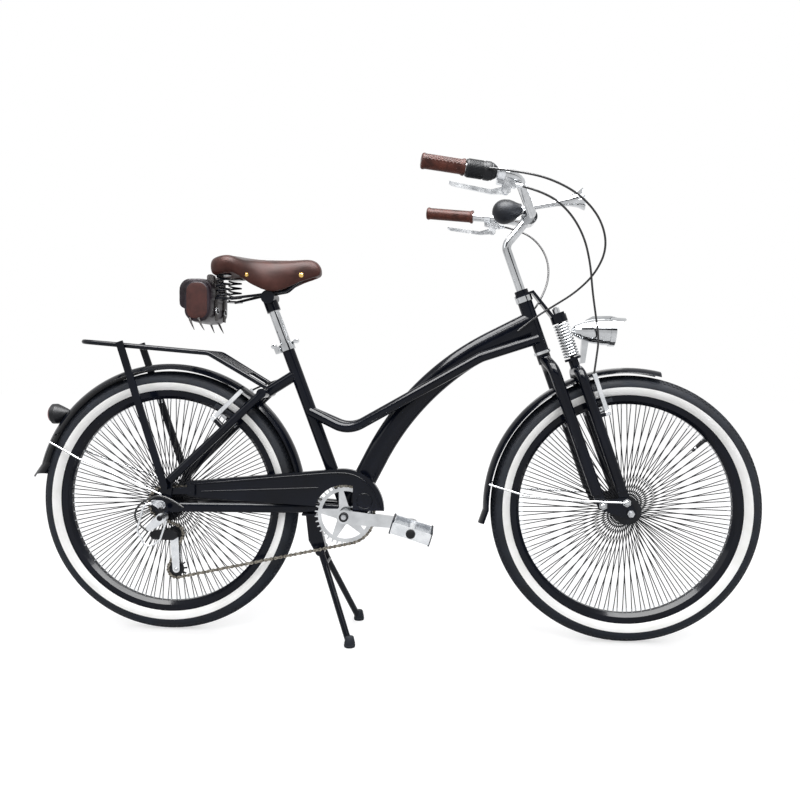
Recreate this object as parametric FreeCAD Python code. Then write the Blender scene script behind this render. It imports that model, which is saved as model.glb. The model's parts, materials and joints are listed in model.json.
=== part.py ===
import FreeCAD, Part
import math
import os

os.makedirs("parts", exist_ok=True)
V = FreeCAD.Vector

# Fits and clearances (mm)
running_fit = 0.05
seat_gap = 0.3

# Wheels
wheelbase = 1153.0
tyre_radius = 333.0
tyre_section_radius = 27.0
tyre_wall = 4.0
rim_radius = 285.0
rim_depth = 23.0
rim_width = 30.0
rim_wall = 2.0
spokes_per_flange = 70
spoke_side = 1.8
axle_radius = 5.0
flange_thickness = 3.0
front_flange_radius = 34.0
front_flange_half_span = 32.0
front_barrel_radius = 12.0
front_hub_half_length = 42.0
rear_flange_radius = 36.0
rear_flange_right = 22.0
rear_flange_left = 30.0
rear_barrel_radius = 18.0
rear_hub_left_end = 48.0
nut_radius = 9.0
nut_length = 9.0

# Frame
bottom_bracket_ahead = 458.0
bottom_bracket_height = 312.0
bracket_shell_radius = 21.0
bracket_shell_half_width = 34.0
cup_flange = 2.8
cup_wall = 6.0
spindle_radius = 8.5
seat_tube_angle = 69.4
seat_tube_length = 455.0
seat_tube_radius = 15.9
seat_post_radius = 13.6
head_angle = 70.2
fork_offset = 65.6
head_tube_low = 416.0
head_tube_length = 129.0
head_tube_radius = 18.0
head_tube_wall = 2.0
headset_cup_height = 7.0
headset_cup_radius = 21.0
headset_top_height = 14.0
main_tube_tall = 60.0
main_tube_wide = 40.0
main_tube_wall = 2.0
main_bend_ahead = 172.0
main_bend_rise = 335.0
main_bend_radius = 660.0
main_tube_join = 490.0
side_tube_radius = 13.0
side_tube_wall = 1.6
side_tube_gap = 0.6
side_tube_seat_height = 272.0
side_sag_ahead = 5.0
side_sag_rise = 209.0
side_crest_ahead = 332.0
side_crest_rise = 396.0
side_tube_join = 448.0
side_tube_head_offset = 11.0
chainstay_tall = 24.0
chainstay_wide = 15.0
chainstay_wall = 1.5
dropout_inner = 65.0
dropout_thickness = 5.0
seatstay_radius = 10.5
seatstay_wall = 1.5
monostay_radius = 14.0
monostay_rise = 374.0
yoke_ahead = 248.0
yoke_height = 613.0
yoke_radius = 12.0
yoke_half_width = 58.0
stay_top_offset = 48.0
stay_foot_ahead = 20.0
stay_foot_rise = 62.0

# Brakes
brake_half_span = 48.0
stud_radius = 7.0
brake_pin_radius = 4.0
rear_stud_up_stay = 184.0
rear_stud_length = 33.0
brake_arm_length = 100.0
brake_arm_thickness = 10.0
pad_rise = 26.0
pad_clearance = 2.5
front_stud_height = 224.0
front_stud_length = 23.0

# Seat
post_insertion = 95.0
saddle_clamp_up = 572.0
saddle_top = 948.0
saddle_nose_ahead = 388.0
saddle_rear_ahead = 112.0
saddle_half_width = 104.0
saddle_nose_half_width = 27.0
saddle_skirt_drop = 80.0
saddle_wall = 12.0
rail_radius = 3.5
rail_half_gap = 22.0
rail_height = 858.0
saddle_spring_ahead = 152.0
saddle_spring_half_gap = 52.0
saddle_spring_radius = 15.5
saddle_spring_wire = 2.4
saddle_spring_turns = 4
spring_seat_radius = 20.0
spring_seat_thickness = 4.0
saddle_spring_low = 849.0
saddle_spring_height = 55.0
bag_rear_ahead = 58.0
bag_depth = 70.0
bag_half_width = 78.0
bag_low = 787.0
bag_height = 106.0

# Drive
chain_pitch = 12.7
chain_line = 44.0
ring_teeth = 36
cog_teeth = (24, 22, 20, 18, 16, 14)
cog_in_use = 2
cog_spacing = 5.5
sprocket_thickness = 2.0
jockey_teeth = 11
jockey_ahead = 24.0
jockey_drop = 77.0
jockey_centre_distance = 90.0
cage_angle_guess = -86.0
freewheel_body_radius = 22.0
freewheel_seat_radius = 17.0
crank_length = 170.0
crank_angle = -5.0
crank_inner = 62.0
crank_thickness = 12.0
crank_hub_radius = 17.0
crank_eye_radius = 13.0
pedal_spindle_radius = 6.0
pedal_length = 93.0
pedal_width = 98.0
pedal_height = 26.0
pedal_tilt = 17.0
pedal_offset = 7.0
guard_outer = 57.0
guard_sheet = 1.5
guard_flange = 16.0
guard_cutout_radius = 77.0

# Kickstand
stand_pivot_ahead = 392.0
stand_pivot_height = 214.0
stand_pin_radius = 6.0
stand_leg_radius = 8.0
stand_foot_ahead = 478.0
stand_foot_half_span = 100.0
stand_foot_radius = 13.0

# Mudguards, lights and rack
mudguard_radius = 352.0
mudguard_half_width = 31.0
mudguard_side_drop = 14.0
mudguard_sheet = 1.5
rear_mudguard_front_angle = 8.0
rear_mudguard_rear_angle = 165.0
front_mudguard_front_angle = 77.0
front_mudguard_rear_angle = 181.0
flap_length = 36.0
flap_flare = 20.0
stay_wire_radius = 2.2
tail_light_radius = 26.0
tail_light_length = 52.0
tail_light_angle = 143.0
rack_rail_radius = 6.0
rack_half_width = 60.0
rack_rear_ahead = -212.0
rack_rear_height = 739.0
rack_bend_ahead = 116.0
rack_bend_height = 712.0
rack_slat_radius = 4.0
rack_slat_spacing = 30.0
rack_cross_radius = 3.2

# Springer fork, measured along (b) and ahead of (a) the steering axis
steerer_radius = 12.7
steerer_wall = 1.6
fork_leg_radius = 14.0
fork_leg_half_span = 52.0
fork_leg_a = 7.0
crown_radius = 17.0
rocker_pivot_a = 9.8
rocker_pivot_b = 15.6
strut_pivot_b = 4.2
strut_a = 65.6
strut_leg_radius = 13.0
strut_wall = 2.0
strut_half_span = 50.0
lug_inner = 50.0
lug_thickness = 6.0
lug_radius = 12.0
rocker_thickness = 5.0
rocker_axle_radius = 15.0
pivot_bolt_radius = 5.0
bolt_head_radius = 9.0
bolt_head_height = 4.5
spring_low_b = 376.0
spring_high_b = 467.0
fork_spring_radius = 17.5
fork_spring_wire = 2.3
fork_spring_turns = 11
spring_rod_radius = 5.0
spring_cap_b = 486.0
spring_perch_b = 492.0

# Cockpit
bar_radius = 11.1
bar_wall = 1.6
stem_bend_b = 693.0
bar_clamp_ahead = 905.0
bar_clamp_height = 1053.0
bar_bend_half_span = 62.0
bar_corner_ahead = 855.0
bar_corner_half_span = 236.0
bar_corner_height = 1097.0
bar_end_ahead = 649.0
bar_end_half_span = 270.0
bar_end_height = 1121.0
grip_radius = 16.5
right_grip_length = 92.0
left_grip_length = 130.0
shifter_start = 94.0
shifter_length = 55.0
shifter_radius = 19.0
lever_clamp_at = 172.0
lever_pivot_forward = 16.0
lever_pivot_drop = 36.0
lever_reach = 126.0
lever_thickness = 8.0
lever_pin_radius = 3.0
cable_radius = 2.5
horn_side = 40.0
horn_bulb_ahead = 848.0
horn_bulb_height = 1077.0
horn_bulb_radius = 31.0
horn_length = 198.0
horn_tilt = 9.3
horn_bell_radius = 29.0
horn_tube_radius = 6.5
lamp_radius = 33.0
lamp_length = 103.0
lamp_tail_ahead = 1016.0
lamp_tail_height = 777.0

# Derived places
rear_axle = V(0, 0, tyre_radius)
front_axle = V(wheelbase, 0, tyre_radius)
bottom_bracket = V(bottom_bracket_ahead, 0, bottom_bracket_height)
seat_dir = V(-math.cos(math.radians(seat_tube_angle)), 0, math.sin(math.radians(seat_tube_angle)))
steer_up = V(-math.cos(math.radians(head_angle)), 0, math.sin(math.radians(head_angle)))
steer_ahead = V(math.sin(math.radians(head_angle)), 0, math.cos(math.radians(head_angle)))
steer_foot = front_axle - V(fork_offset / math.sin(math.radians(head_angle)), 0, 0)
axle_b = -fork_offset / math.tan(math.radians(head_angle))
across = V(0, 1, 0)
sides = (-1, 1)


def steer(a, b, y=0.0):
    """Point a mm ahead of the steering axis and b mm up along it."""
    return steer_foot + steer_ahead * a + steer_up * b + across * y


def cylinder(start, end, radius):
    return Part.makeCylinder(radius, (end - start).Length, start, end - start)


def cross_cylinder(centre, y_from, y_to, radius):
    """Cylinder across the bicycle, between two Y values."""
    return cylinder(V(centre.x, min(y_from, y_to), centre.z), V(centre.x, max(y_from, y_to), centre.z), radius)


def joined(shapes):
    return shapes[0].fuse(shapes[1:]).removeSplitter() if len(shapes) > 1 else shapes[0]


def bent_path(points, radius=None, report=None):
    """Straight runs joined by tangent arcs, as large as the shorter run allows if no radius is given."""
    edges = []
    start = points[0]
    radii = []
    for before, corner, after in zip(points, points[1:], points[2:]):
        into = (corner - before).normalize()
        out = (after - corner).normalize()
        half = into.getAngle(out) / 2
        shorter = min((corner - before).Length, (after - corner).Length)
        bend = radius if radius else 0.45 * shorter / math.tan(half)
        reach = bend * math.tan(half)
        inward = (out - into).normalize()
        middle = corner + inward * (bend / math.cos(half) - bend)
        edges.append(Part.LineSegment(start, corner - into * reach).toShape())
        edges.append(Part.Arc(corner - into * reach, middle, corner + out * reach).toShape())
        start = corner + out * reach
        radii.append(round(bend, 1))
    edges.append(Part.LineSegment(start, points[-1]).toShape())
    path = Part.Wire(edges)
    if report:
        print(report, "bend radii", radii, "length", round(path.Length, 1))
    return path


def rod(points, thickness_radius, bend=None, report=None):
    """Round bar or cable along a bent path."""
    path = bent_path(points, bend, report)
    circle = Part.Wire(Part.makeCircle(thickness_radius, points[0], points[1] - points[0]))
    solid = path.makePipeShell([circle], True, False)
    if report:
        section = math.pi * thickness_radius ** 2
        print(report, "volume over section times length", round(solid.Volume / (section * path.Length), 4))
    return solid


def tube(points, outer_radius, wall, bend=None):
    return rod(points, outer_radius, bend).cut(rod(points, outer_radius - wall, bend))


def oval_rod(points, tall, wide, bend):
    """Oval bar along a path; its tall axis stands square to the path and to the cross direction."""
    path = bent_path(points, bend)
    along = (points[1] - points[0]).normalize()
    upright = along.cross(across).normalize()
    flat = upright.cross(along)
    if tall >= wide:
        oval = Part.Ellipse(points[0] + upright * (tall / 2), points[0] + flat * (wide / 2), points[0])
    else:
        oval = Part.Ellipse(points[0] + flat * (wide / 2), points[0] + upright * (tall / 2), points[0])
    return path.makePipeShell([Part.Wire(oval.toShape())], True, False)


def prism(outline, y_from, y_to):
    """Flat plate from an (x, z) outline, between two Y values."""
    low = min(y_from, y_to)
    points = [V(x, low, z) for x, z in outline]
    face = Part.Face(Part.makePolygon(points + points[:1]))
    return face.extrude(across * abs(y_to - y_from))


def link_plate(first, first_radius, second, second_radius, y_from, y_to):
    """Plate that wraps two circles and their common tangents."""
    gap = V(second.x - first.x, 0, second.z - first.z)
    heading = math.atan2(gap.z, gap.x)
    spread = math.acos((first_radius - second_radius) / gap.Length)
    low = min(y_from, y_to)

    def rim_point(centre, radius, angle):
        return V(centre.x + radius * math.cos(angle), low, centre.z + radius * math.sin(angle))

    a = rim_point(first, first_radius, heading + spread)
    b = rim_point(second, second_radius, heading + spread)
    c = rim_point(second, second_radius, heading - spread)
    d = rim_point(first, first_radius, heading - spread)
    edges = [
        Part.LineSegment(a, b).toShape(),
        Part.Arc(b, rim_point(second, second_radius, heading), c).toShape(),
        Part.LineSegment(c, d).toShape(),
        Part.Arc(d, rim_point(first, first_radius, heading + math.pi), a).toShape(),
    ]
    return Part.Face(Part.Wire(edges)).extrude(across * abs(y_to - y_from))


def turned(profile, centre):
    """Solid of revolution about the cross axis from an (r, y) outline."""
    points = [V(centre.x + r, y, centre.z) for r, y in profile]
    face = Part.Face(Part.makePolygon(points + points[:1]))
    return face.revolve(V(centre.x, 0, centre.z), across, 360)


def turned_along(profile, origin, direction):
    """Solid of revolution about any axis from a (distance, radius) outline."""
    axis = V(direction).normalize()
    square = axis.cross(across).normalize()
    points = [origin + axis * s + square * r for s, r in profile]
    face = Part.Face(Part.makePolygon(points + points[:1]))
    return face.revolve(origin, axis, 360)


def local_prism(origin, x_dir, z_dir, outline, half_thickness):
    """Plate in a tilted plane, given by its two directions."""
    normal = x_dir.cross(z_dir).normalize()
    points = [origin + x_dir * x + z_dir * z - normal * half_thickness for x, z in outline]
    return Part.Face(Part.makePolygon(points + points[:1])).extrude(normal * (2 * half_thickness))


def hexagon(centre, y_from, y_to, radius):
    corners = [math.radians(60 * k) for k in range(6)]
    return prism([(centre.x + radius * math.cos(t), centre.z + radius * math.sin(t)) for t in corners], y_from, y_to)


def spring(foot, direction, radius, wire, height, turns, name):
    """Coil as one tube on quarter-turn biarcs; prints its least gap to itself."""
    axis = V(direction).normalize()
    first = axis.cross(across).normalize()
    second = axis.cross(first)
    rise = height / turns

    def place(turn):
        angle = 2 * math.pi * turn
        return foot + first * (radius * math.cos(angle)) + second * (radius * math.sin(angle)) + axis * (rise * turn)

    def heading(turn):
        angle = 2 * math.pi * turn
        sweep = second * (radius * math.cos(angle)) - first * (radius * math.sin(angle))
        return (sweep * (2 * math.pi) + axis * rise).normalize()

    def arc(start, tangent, corner, end):
        weight = math.cos(tangent.getAngle(end - start))
        middle = (start + corner * (2 * weight) + end) * (1 / (2 + 2 * weight))
        return Part.Arc(start, middle, end).toShape()

    edges = []
    for quarter in range(4 * turns):
        p0, p1 = place(quarter / 4), place((quarter + 1) / 4)
        t0, t1 = heading(quarter / 4), heading((quarter + 1) / 4)
        span = p1 - p0
        qa = 2 * (t0.dot(t1) - 1)
        qb = -2 * span.dot(t0 + t1)
        qc = span.dot(span)
        reach = (-qb - math.sqrt(qb * qb - 4 * qa * qc)) / (2 * qa)
        c0, c1 = p0 + t0 * reach, p1 - t1 * reach
        joint = (c0 + c1) * 0.5
        edges.append(arc(p0, t0, c0, joint))
        edges.append(arc(joint, (c1 - c0).normalize(), c1, p1))
    circle = Part.Wire(Part.makeCircle(wire, place(0), heading(0)))
    coil = Part.Wire(edges).makePipeShell([circle], True, False)
    samples = [place(k / 24) for k in range(24 * turns + 1)]
    pairs = [(p - q).Length for i, p in enumerate(samples) for q in samples[i + 12:]]
    print(name, "least gap to itself", round(min(pairs) - 2 * wire, 2))
    return coil


nodes = {}

# Wheels: open tyre, single-wall rim, flanged hub and slanted spokes
tyre_centre_radius = tyre_radius - tyre_section_radius
bead_radius = rim_radius + 0.2


def make_tyre(centre):
    bead_drop = tyre_centre_radius - bead_radius
    inner_radius = tyre_section_radius - tyre_wall
    outer_bead = math.sqrt(tyre_section_radius ** 2 - bead_drop ** 2)
    inner_bead = math.sqrt(inner_radius ** 2 - bead_drop ** 2)

    def at(r, y):
        return V(centre.x + r, y, centre.z)

    crown = Part.Arc(at(bead_radius, -outer_bead), at(tyre_radius, 0), at(bead_radius, outer_bead))
    bore = Part.Arc(at(bead_radius, inner_bead), at(tyre_radius - tyre_wall, 0), at(bead_radius, -inner_bead))
    edges = [
        crown.toShape(),
        Part.LineSegment(at(bead_radius, outer_bead), at(bead_radius, inner_bead)).toShape(),
        bore.toShape(),
        Part.LineSegment(at(bead_radius, -inner_bead), at(bead_radius, -outer_bead)).toShape(),
    ]
    return Part.Face(Part.Wire(edges)).revolve(V(centre.x, 0, centre.z), across, 360)


def make_rim(centre):
    half = rim_width / 2
    inner = rim_radius - rim_depth
    shoulder = inner + 8
    well = 6.0
    outline = [
        (rim_radius, -half), (shoulder, -half), (inner, -well), (inner, well), (shoulder, half), (rim_radius, half),
        (rim_radius, half - rim_wall), (shoulder + 1, half - rim_wall), (inner + rim_wall, well - 1),
        (inner + rim_wall, 1 - well), (shoulder + 1, rim_wall - half), (rim_radius, rim_wall - half),
    ]
    return turned(outline, centre)


def make_spokes(centre, flange_radius, flange_offsets):
    inner = flange_radius + 0.15
    outer = rim_radius - rim_depth - 0.15
    half = spoke_side / 2
    copies = []
    for number, flange_y in enumerate(flange_offsets):
        rim_y = math.copysign(3.0, flange_y)
        base = [V(centre.x - half, flange_y - half, centre.z + inner), V(centre.x + half, flange_y - half, centre.z + inner)]
        base += [V(centre.x + half, flange_y + half, centre.z + inner), V(centre.x - half, flange_y + half, centre.z + inner)]
        lean = V(0, rim_y - flange_y, outer - inner)
        spoke = Part.Face(Part.makePolygon(base + base[:1])).extrude(lean)
        pitch = 360.0 / spokes_per_flange
        for k in range(spokes_per_flange):
            copy = spoke.copy()
            copy.rotate(centre, across, pitch * (k + 0.5 * number))
            copies.append(copy)
    return Part.makeCompound(copies)


nodes["front_tyre"] = make_tyre(front_axle)
nodes["front_rim"] = make_rim(front_axle)
nodes["front_spokes"] = make_spokes(front_axle, front_flange_radius, (-front_flange_half_span, front_flange_half_span))
flange_half = flange_thickness / 2
bore_radius = axle_radius + running_fit


def hub_outline(ends, offsets, flange_radius, barrel_radius, end_radius):
    left, right = offsets
    return [
        (bore_radius, ends[0]), (end_radius, ends[0]), (end_radius, left - flange_half),
        (flange_radius, left - flange_half), (flange_radius, left + flange_half), (barrel_radius, left + flange_half),
        (barrel_radius, right - flange_half), (flange_radius, right - flange_half), (flange_radius, right + flange_half),
        (end_radius, right + flange_half), (end_radius, ends[1]), (bore_radius, ends[1]),
    ]


nodes["front_hub"] = turned(
    hub_outline(
        (-front_hub_half_length, front_hub_half_length), (-front_flange_half_span, front_flange_half_span),
        front_flange_radius, front_barrel_radius, nut_radius),
    front_axle)

cog_count = len(cog_teeth)
cog_line = [-chain_line + (cog_in_use - k) * cog_spacing for k in range(cog_count)]
freewheel_inner = cog_line[0] + 2.5
freewheel_outer = cog_line[-1] - 2.5
rear_hub_right_end = freewheel_outer - 0.5
nodes["rear_tyre"] = make_tyre(rear_axle)
nodes["rear_rim"] = make_rim(rear_axle)
nodes["rear_spokes"] = make_spokes(rear_axle, rear_flange_radius, (-rear_flange_right, rear_flange_left))
rear_hub = turned(
    hub_outline(
        (rear_hub_right_end, rear_hub_left_end), (-rear_flange_right, rear_flange_left),
        rear_flange_radius, rear_barrel_radius, freewheel_seat_radius),
    rear_axle)
nodes["rear_hub"] = rear_hub

dropout_outer = dropout_inner + dropout_thickness
washer = 3.0
axle_end = dropout_outer + nut_length + 5
rear_axle_parts = [cross_cylinder(rear_axle, -axle_end, axle_end, axle_radius)]
rear_axle_parts.append(cross_cylinder(rear_axle, rear_hub_left_end + seat_gap, dropout_inner, nut_radius))
rear_axle_parts.append(cross_cylinder(rear_axle, dropout_outer, dropout_outer + washer + 1, nut_radius + 2))
rear_axle_parts.append(cross_cylinder(rear_axle, rear_hub_right_end - seat_gap, -dropout_inner, nut_radius))
for side in sides:
    nut = hexagon(rear_axle, side * (dropout_outer + washer), side * (dropout_outer + washer + nut_length), nut_radius)
    rear_axle_parts.append(nut)
nodes["rear_axle"] = joined(rear_axle_parts)

# Toothed sprockets and the chain that runs on them


def pitch_radius(teeth):
    return chain_pitch / (2 * math.sin(math.pi / teeth))


def sprocket(centre, teeth, y_middle, bore, first_pin_angle):
    """Toothed disc whose gaps stand under the chain pins."""
    pitch_line = pitch_radius(teeth)
    outline = []
    for k in range(teeth):
        angle = first_pin_angle + 2 * math.pi * k / teeth
        radial = (math.cos(angle), math.sin(angle))
        for sideways, outward in ((-5.45, 3.5), (-3.6, -4.2), (3.6, -4.2), (5.45, 3.5)):
            r = pitch_line + outward
            outline.append((
                centre.x + r * radial[0] - sideways * radial[1],
                centre.z + r * radial[1] + sideways * radial[0]))
    disc = prism(outline, y_middle - sprocket_thickness / 2, y_middle + sprocket_thickness / 2)
    return disc.cut(cross_cylinder(centre, y_middle - 10, y_middle + 10, bore))


guide_centre = rear_axle + V(jockey_ahead, 0, -jockey_drop)
cog_teeth_used = cog_teeth[cog_in_use]


def tension_centre(cage_angle):
    return guide_centre + V(math.cos(cage_angle), 0, math.sin(cage_angle)) * jockey_centre_distance


def chain_runs(cage_angle):
    """Arcs and straight runs of the pitch line, in the direction that the upper run moves."""
    wheels = [
        (rear_axle, pitch_radius(cog_teeth_used), 1), (bottom_bracket, pitch_radius(ring_teeth), 1),
        (tension_centre(cage_angle), pitch_radius(jockey_teeth), 1), (guide_centre, pitch_radius(jockey_teeth), -1),
    ]
    headings = []
    for number, (centre, radius, turn) in enumerate(wheels):
        next_centre, next_radius, next_turn = wheels[(number + 1) % len(wheels)]
        gap = next_centre - centre
        lift = math.asin((turn * radius - next_turn * next_radius) / gap.Length)
        headings.append(math.atan2(gap.z, gap.x) - lift)
    runs = []
    for number, (centre, radius, turn) in enumerate(wheels):
        arrive = headings[number - 1] + turn * math.pi / 2
        leave = headings[number] + turn * math.pi / 2
        swing = (turn * (arrive - leave)) % (2 * math.pi)
        runs.append(("arc", centre, radius, turn, arrive, swing * radius))
        start = centre + V(math.cos(leave), 0, math.sin(leave)) * radius
        next_centre, next_radius, next_turn = wheels[(number + 1) % len(wheels)]
        land = headings[number] + next_turn * math.pi / 2
        end = next_centre + V(math.cos(land), 0, math.sin(land)) * next_radius
        runs.append(("line", start, end, 0, 0, (end - start).Length))
    return runs


def on_chain(runs, distance):
    total = sum(run[5] for run in runs)
    left = distance % total
    for kind, first, second, turn, arrive, length in runs:
        if left <= length:
            if kind == "arc":
                angle = arrive - turn * left / second
                return first + V(math.cos(angle), 0, math.sin(angle)) * second
            return first + (second - first) * (left / length)
        left -= length
    return on_chain(runs, 0)


def walk_chain(runs, links):
    """Distances of the pins, each one chain pitch in a straight line from the last."""
    places = [0.0]
    for _ in range(links):
        low, high = places[-1] + chain_pitch * 0.99, places[-1] + chain_pitch * 1.08
        here = on_chain(runs, places[-1])
        for _ in range(40):
            middle = (low + high) / 2
            if (on_chain(runs, middle) - here).Length < chain_pitch:
                low = middle
            else:
                high = middle
        places.append(low)
    return places


def chain_excess(cage_angle, links):
    runs = chain_runs(cage_angle)
    return walk_chain(runs, links)[-1] - sum(run[5] for run in runs)


guess = math.radians(cage_angle_guess)
guess_length = sum(run[5] for run in chain_runs(guess))
link_count = 2 * round(guess_length / chain_pitch / 2)
low_angle, high_angle = guess - 0.5, guess + 0.5
for _ in range(24):
    cage_angle = (low_angle + high_angle) / 2
    same_side = chain_excess(low_angle, link_count) * chain_excess(cage_angle, link_count) > 0
    if same_side:
        low_angle = cage_angle
    else:
        high_angle = cage_angle
tension_jockey = tension_centre(cage_angle)
final_runs = chain_runs(cage_angle)
pins = [on_chain(final_runs, s) for s in walk_chain(final_runs, link_count)[:-1]]
print("chain links", link_count, "cage angle", round(math.degrees(cage_angle), 2))


def pin_angle_on(centre, teeth):
    """Angle of the pin that lies deepest in this wheel's arc of contact."""
    best = min(pins, key=lambda pin: abs((pin - centre).Length - pitch_radius(teeth)))
    return math.atan2(best.z - centre.z, best.x - centre.x)


def chain_plate(length, inner, outer):
    """Six-sided side plate about the line between two pins."""
    half, waist, tip = 4.1, length / 2, length / 2 + 4.0
    outline = [(-tip, 0), (-waist, half), (waist, half), (tip, 0), (waist, -half), (-waist, -half)]
    return prism(outline, inner, outer)


inner_pair = [chain_plate(chain_pitch, 1.3, 2.4), chain_plate(chain_pitch, -2.4, -1.3)]
outer_pair = [chain_plate(chain_pitch, 2.5, 3.5), chain_plate(chain_pitch, -3.5, -2.5)]
roller = hexagon(V(0, 0, 0), -1.2, 1.2, 3.7)
chain_parts = []
for number, pin in enumerate(pins):
    ahead = pins[(number + 1) % link_count]
    middle = (pin + ahead) * 0.5 - across * chain_line
    tilt = -math.degrees(math.atan2(ahead.z - pin.z, ahead.x - pin.x))
    for plate in inner_pair if number % 2 else outer_pair:
        copy = plate.copy()
        copy.Placement = FreeCAD.Placement(middle, FreeCAD.Rotation(across, tilt))
        chain_parts.append(copy)
    copy = roller.copy()
    copy.Placement = FreeCAD.Placement(pin - across * chain_line, FreeCAD.Rotation(across, tilt))
    chain_parts.append(copy)
nodes["chain"] = Part.makeCompound(chain_parts)

freewheel_parts = [
    cross_cylinder(rear_axle, freewheel_inner, freewheel_outer, freewheel_body_radius).cut(
        cross_cylinder(rear_axle, freewheel_inner + 1, freewheel_outer - 1, freewheel_seat_radius + running_fit))]
for teeth, y_middle in zip(cog_teeth, cog_line):
    start_angle = pin_angle_on(rear_axle, teeth) if teeth == cog_teeth_used else 0.0
    freewheel_parts.append(sprocket(rear_axle, teeth, y_middle, freewheel_body_radius - 1, start_angle))
nodes["freewheel"] = joined(freewheel_parts)

# Frame tubes, coped where they meet
head_low = steer(0, head_tube_low)
head_high = steer(0, head_tube_low + head_tube_length)
head_bore = head_tube_radius - head_tube_wall
head_solid = cylinder(head_low, head_high, head_tube_radius)
nodes["head_tube"] = head_solid.cut(cylinder(head_low - steer_up, head_high + steer_up, head_bore))

shell_end = bracket_shell_half_width
seat_top = bottom_bracket + seat_dir * seat_tube_length
seat_solid = cylinder(bottom_bracket, seat_top, seat_tube_radius)
shell_solid = cross_cylinder(bottom_bracket, -shell_end, shell_end, bracket_shell_radius)
cup_end = shell_end + cup_flange
cups = cross_cylinder(bottom_bracket, -cup_end, cup_end, bracket_shell_radius - 2)
seat_bore = cylinder(bottom_bracket + seat_dir * 60, seat_top + seat_dir * 5, seat_post_radius + running_fit)
shell_bore = cross_cylinder(bottom_bracket, cup_wall - shell_end, shell_end - cup_wall, bracket_shell_radius - 4)
spindle_bore = cross_cylinder(bottom_bracket, -cup_end - 1, cup_end + 1, spindle_radius + running_fit)
nodes["seat_tube"] = joined([seat_solid, shell_solid, cups]).cut(seat_bore).cut(shell_bore).cut(spindle_bore)

main_points = [
    bottom_bracket, bottom_bracket + V(main_bend_ahead, 0, main_bend_rise), steer(0, main_tube_join)]
main_solid = oval_rod(main_points, main_tube_tall, main_tube_wide, main_bend_radius)
main_bore = oval_rod(
    main_points, main_tube_tall - 2 * main_tube_wall, main_tube_wide - 2 * main_tube_wall, main_bend_radius)
frame_tube_parts = [main_solid.cut(main_bore).cut(head_solid).cut(seat_solid).cut(shell_solid)]
side_offset = main_tube_wide / 2 + side_tube_radius + side_tube_gap
for side in sides:
    seat_join = bottom_bracket + seat_dir * side_tube_seat_height
    side_points = [
        seat_join + across * (side * 6),
        bottom_bracket + V(side_sag_ahead, side * side_offset, side_sag_rise),
        bottom_bracket + V(side_crest_ahead, side * side_offset, side_crest_rise),
        steer(0, side_tube_join, side * side_tube_head_offset)]
    side_solid = tube(side_points, side_tube_radius, side_tube_wall, 70)
    side_solid = side_solid.cut(main_solid).cut(head_solid).cut(seat_solid)
    frame_tube_parts.append(max(side_solid.Solids, key=lambda s: s.Volume))
nodes["frame_tubes"] = Part.makeCompound(frame_tube_parts)

# Rear triangle
dropout_y = (dropout_inner + dropout_outer) / 2
stay_foot = rear_axle + V(stay_foot_ahead, 0, stay_foot_rise)
hanger_foot = rear_axle + V(6, 0, -30)
chainstay_tip = rear_axle + V(46, 0, -5)
bridge_ahead = 366.0
stay_level = bottom_bracket_height + 14
rear_triangle = []
dropouts = []
for side in sides:
    stay_points = [
        V(bottom_bracket_ahead - 10, side * 25, stay_level - 3), V(378, side * 32.5, stay_level),
        V(318, side * 44, stay_level), V(chainstay_tip.x, side * dropout_y, chainstay_tip.z)]
    stay = oval_rod(stay_points, chainstay_tall, chainstay_wide, 55)
    bore = oval_rod(stay_points, chainstay_tall - 2 * chainstay_wall, chainstay_wide - 2 * chainstay_wall, 55)
    rear_triangle.append(stay.cut(bore))
    y_in, y_out = side * dropout_inner, side * dropout_outer
    plate = link_plate(rear_axle, 20, chainstay_tip, 12, y_in, y_out)
    plate = plate.fuse(link_plate(rear_axle, 20, stay_foot, 10, y_in, y_out))
    if side < 0:
        plate = plate.fuse(link_plate(rear_axle, 18, hanger_foot, 10, y_in, y_out))
    dropouts.append(plate)
bridge = cross_cylinder(V(bridge_ahead, 0, stay_level), -34, 34, 7)
axle_slot = cross_cylinder(rear_axle, -80, 80, axle_radius + running_fit)
stays_solid = joined(rear_triangle + dropouts + [bridge]).cut(axle_slot).cut(shell_solid).cut(seat_solid)
stand_pivot = V(stand_pivot_ahead, 0, stand_pivot_height)
stand_top = stay_level - chainstay_tall / 2 - 2
lug_half = 11.0
bracket_plate = prism(
    [(348, stand_top), (384, stand_top), (384, stand_top - 5), (348, stand_top - 5)], -42, 42)
bracket_body = prism(
    [(352, stand_top - 5), (382, stand_top - 5), (402, stand_pivot_height + 12), (402, stand_pivot_height - 2),
     (380, stand_pivot_height - 12), (360, stand_pivot_height + 24)], -lug_half, lug_half)
stand_pin_end = lug_half + 2 * stand_leg_radius + 2
stand_pin = cross_cylinder(stand_pivot, -stand_pin_end, stand_pin_end, stand_pin_radius)
stand_bolt = cylinder(V(bridge_ahead, 0, stand_top - 1), V(bridge_ahead, 0, stay_level - 6), 4)
stand_bracket = joined([bracket_plate, bracket_body, stand_pin, stand_bolt]).cut(bridge)
nodes["chainstays"] = Part.makeCompound([stays_solid, stand_bracket])

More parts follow.
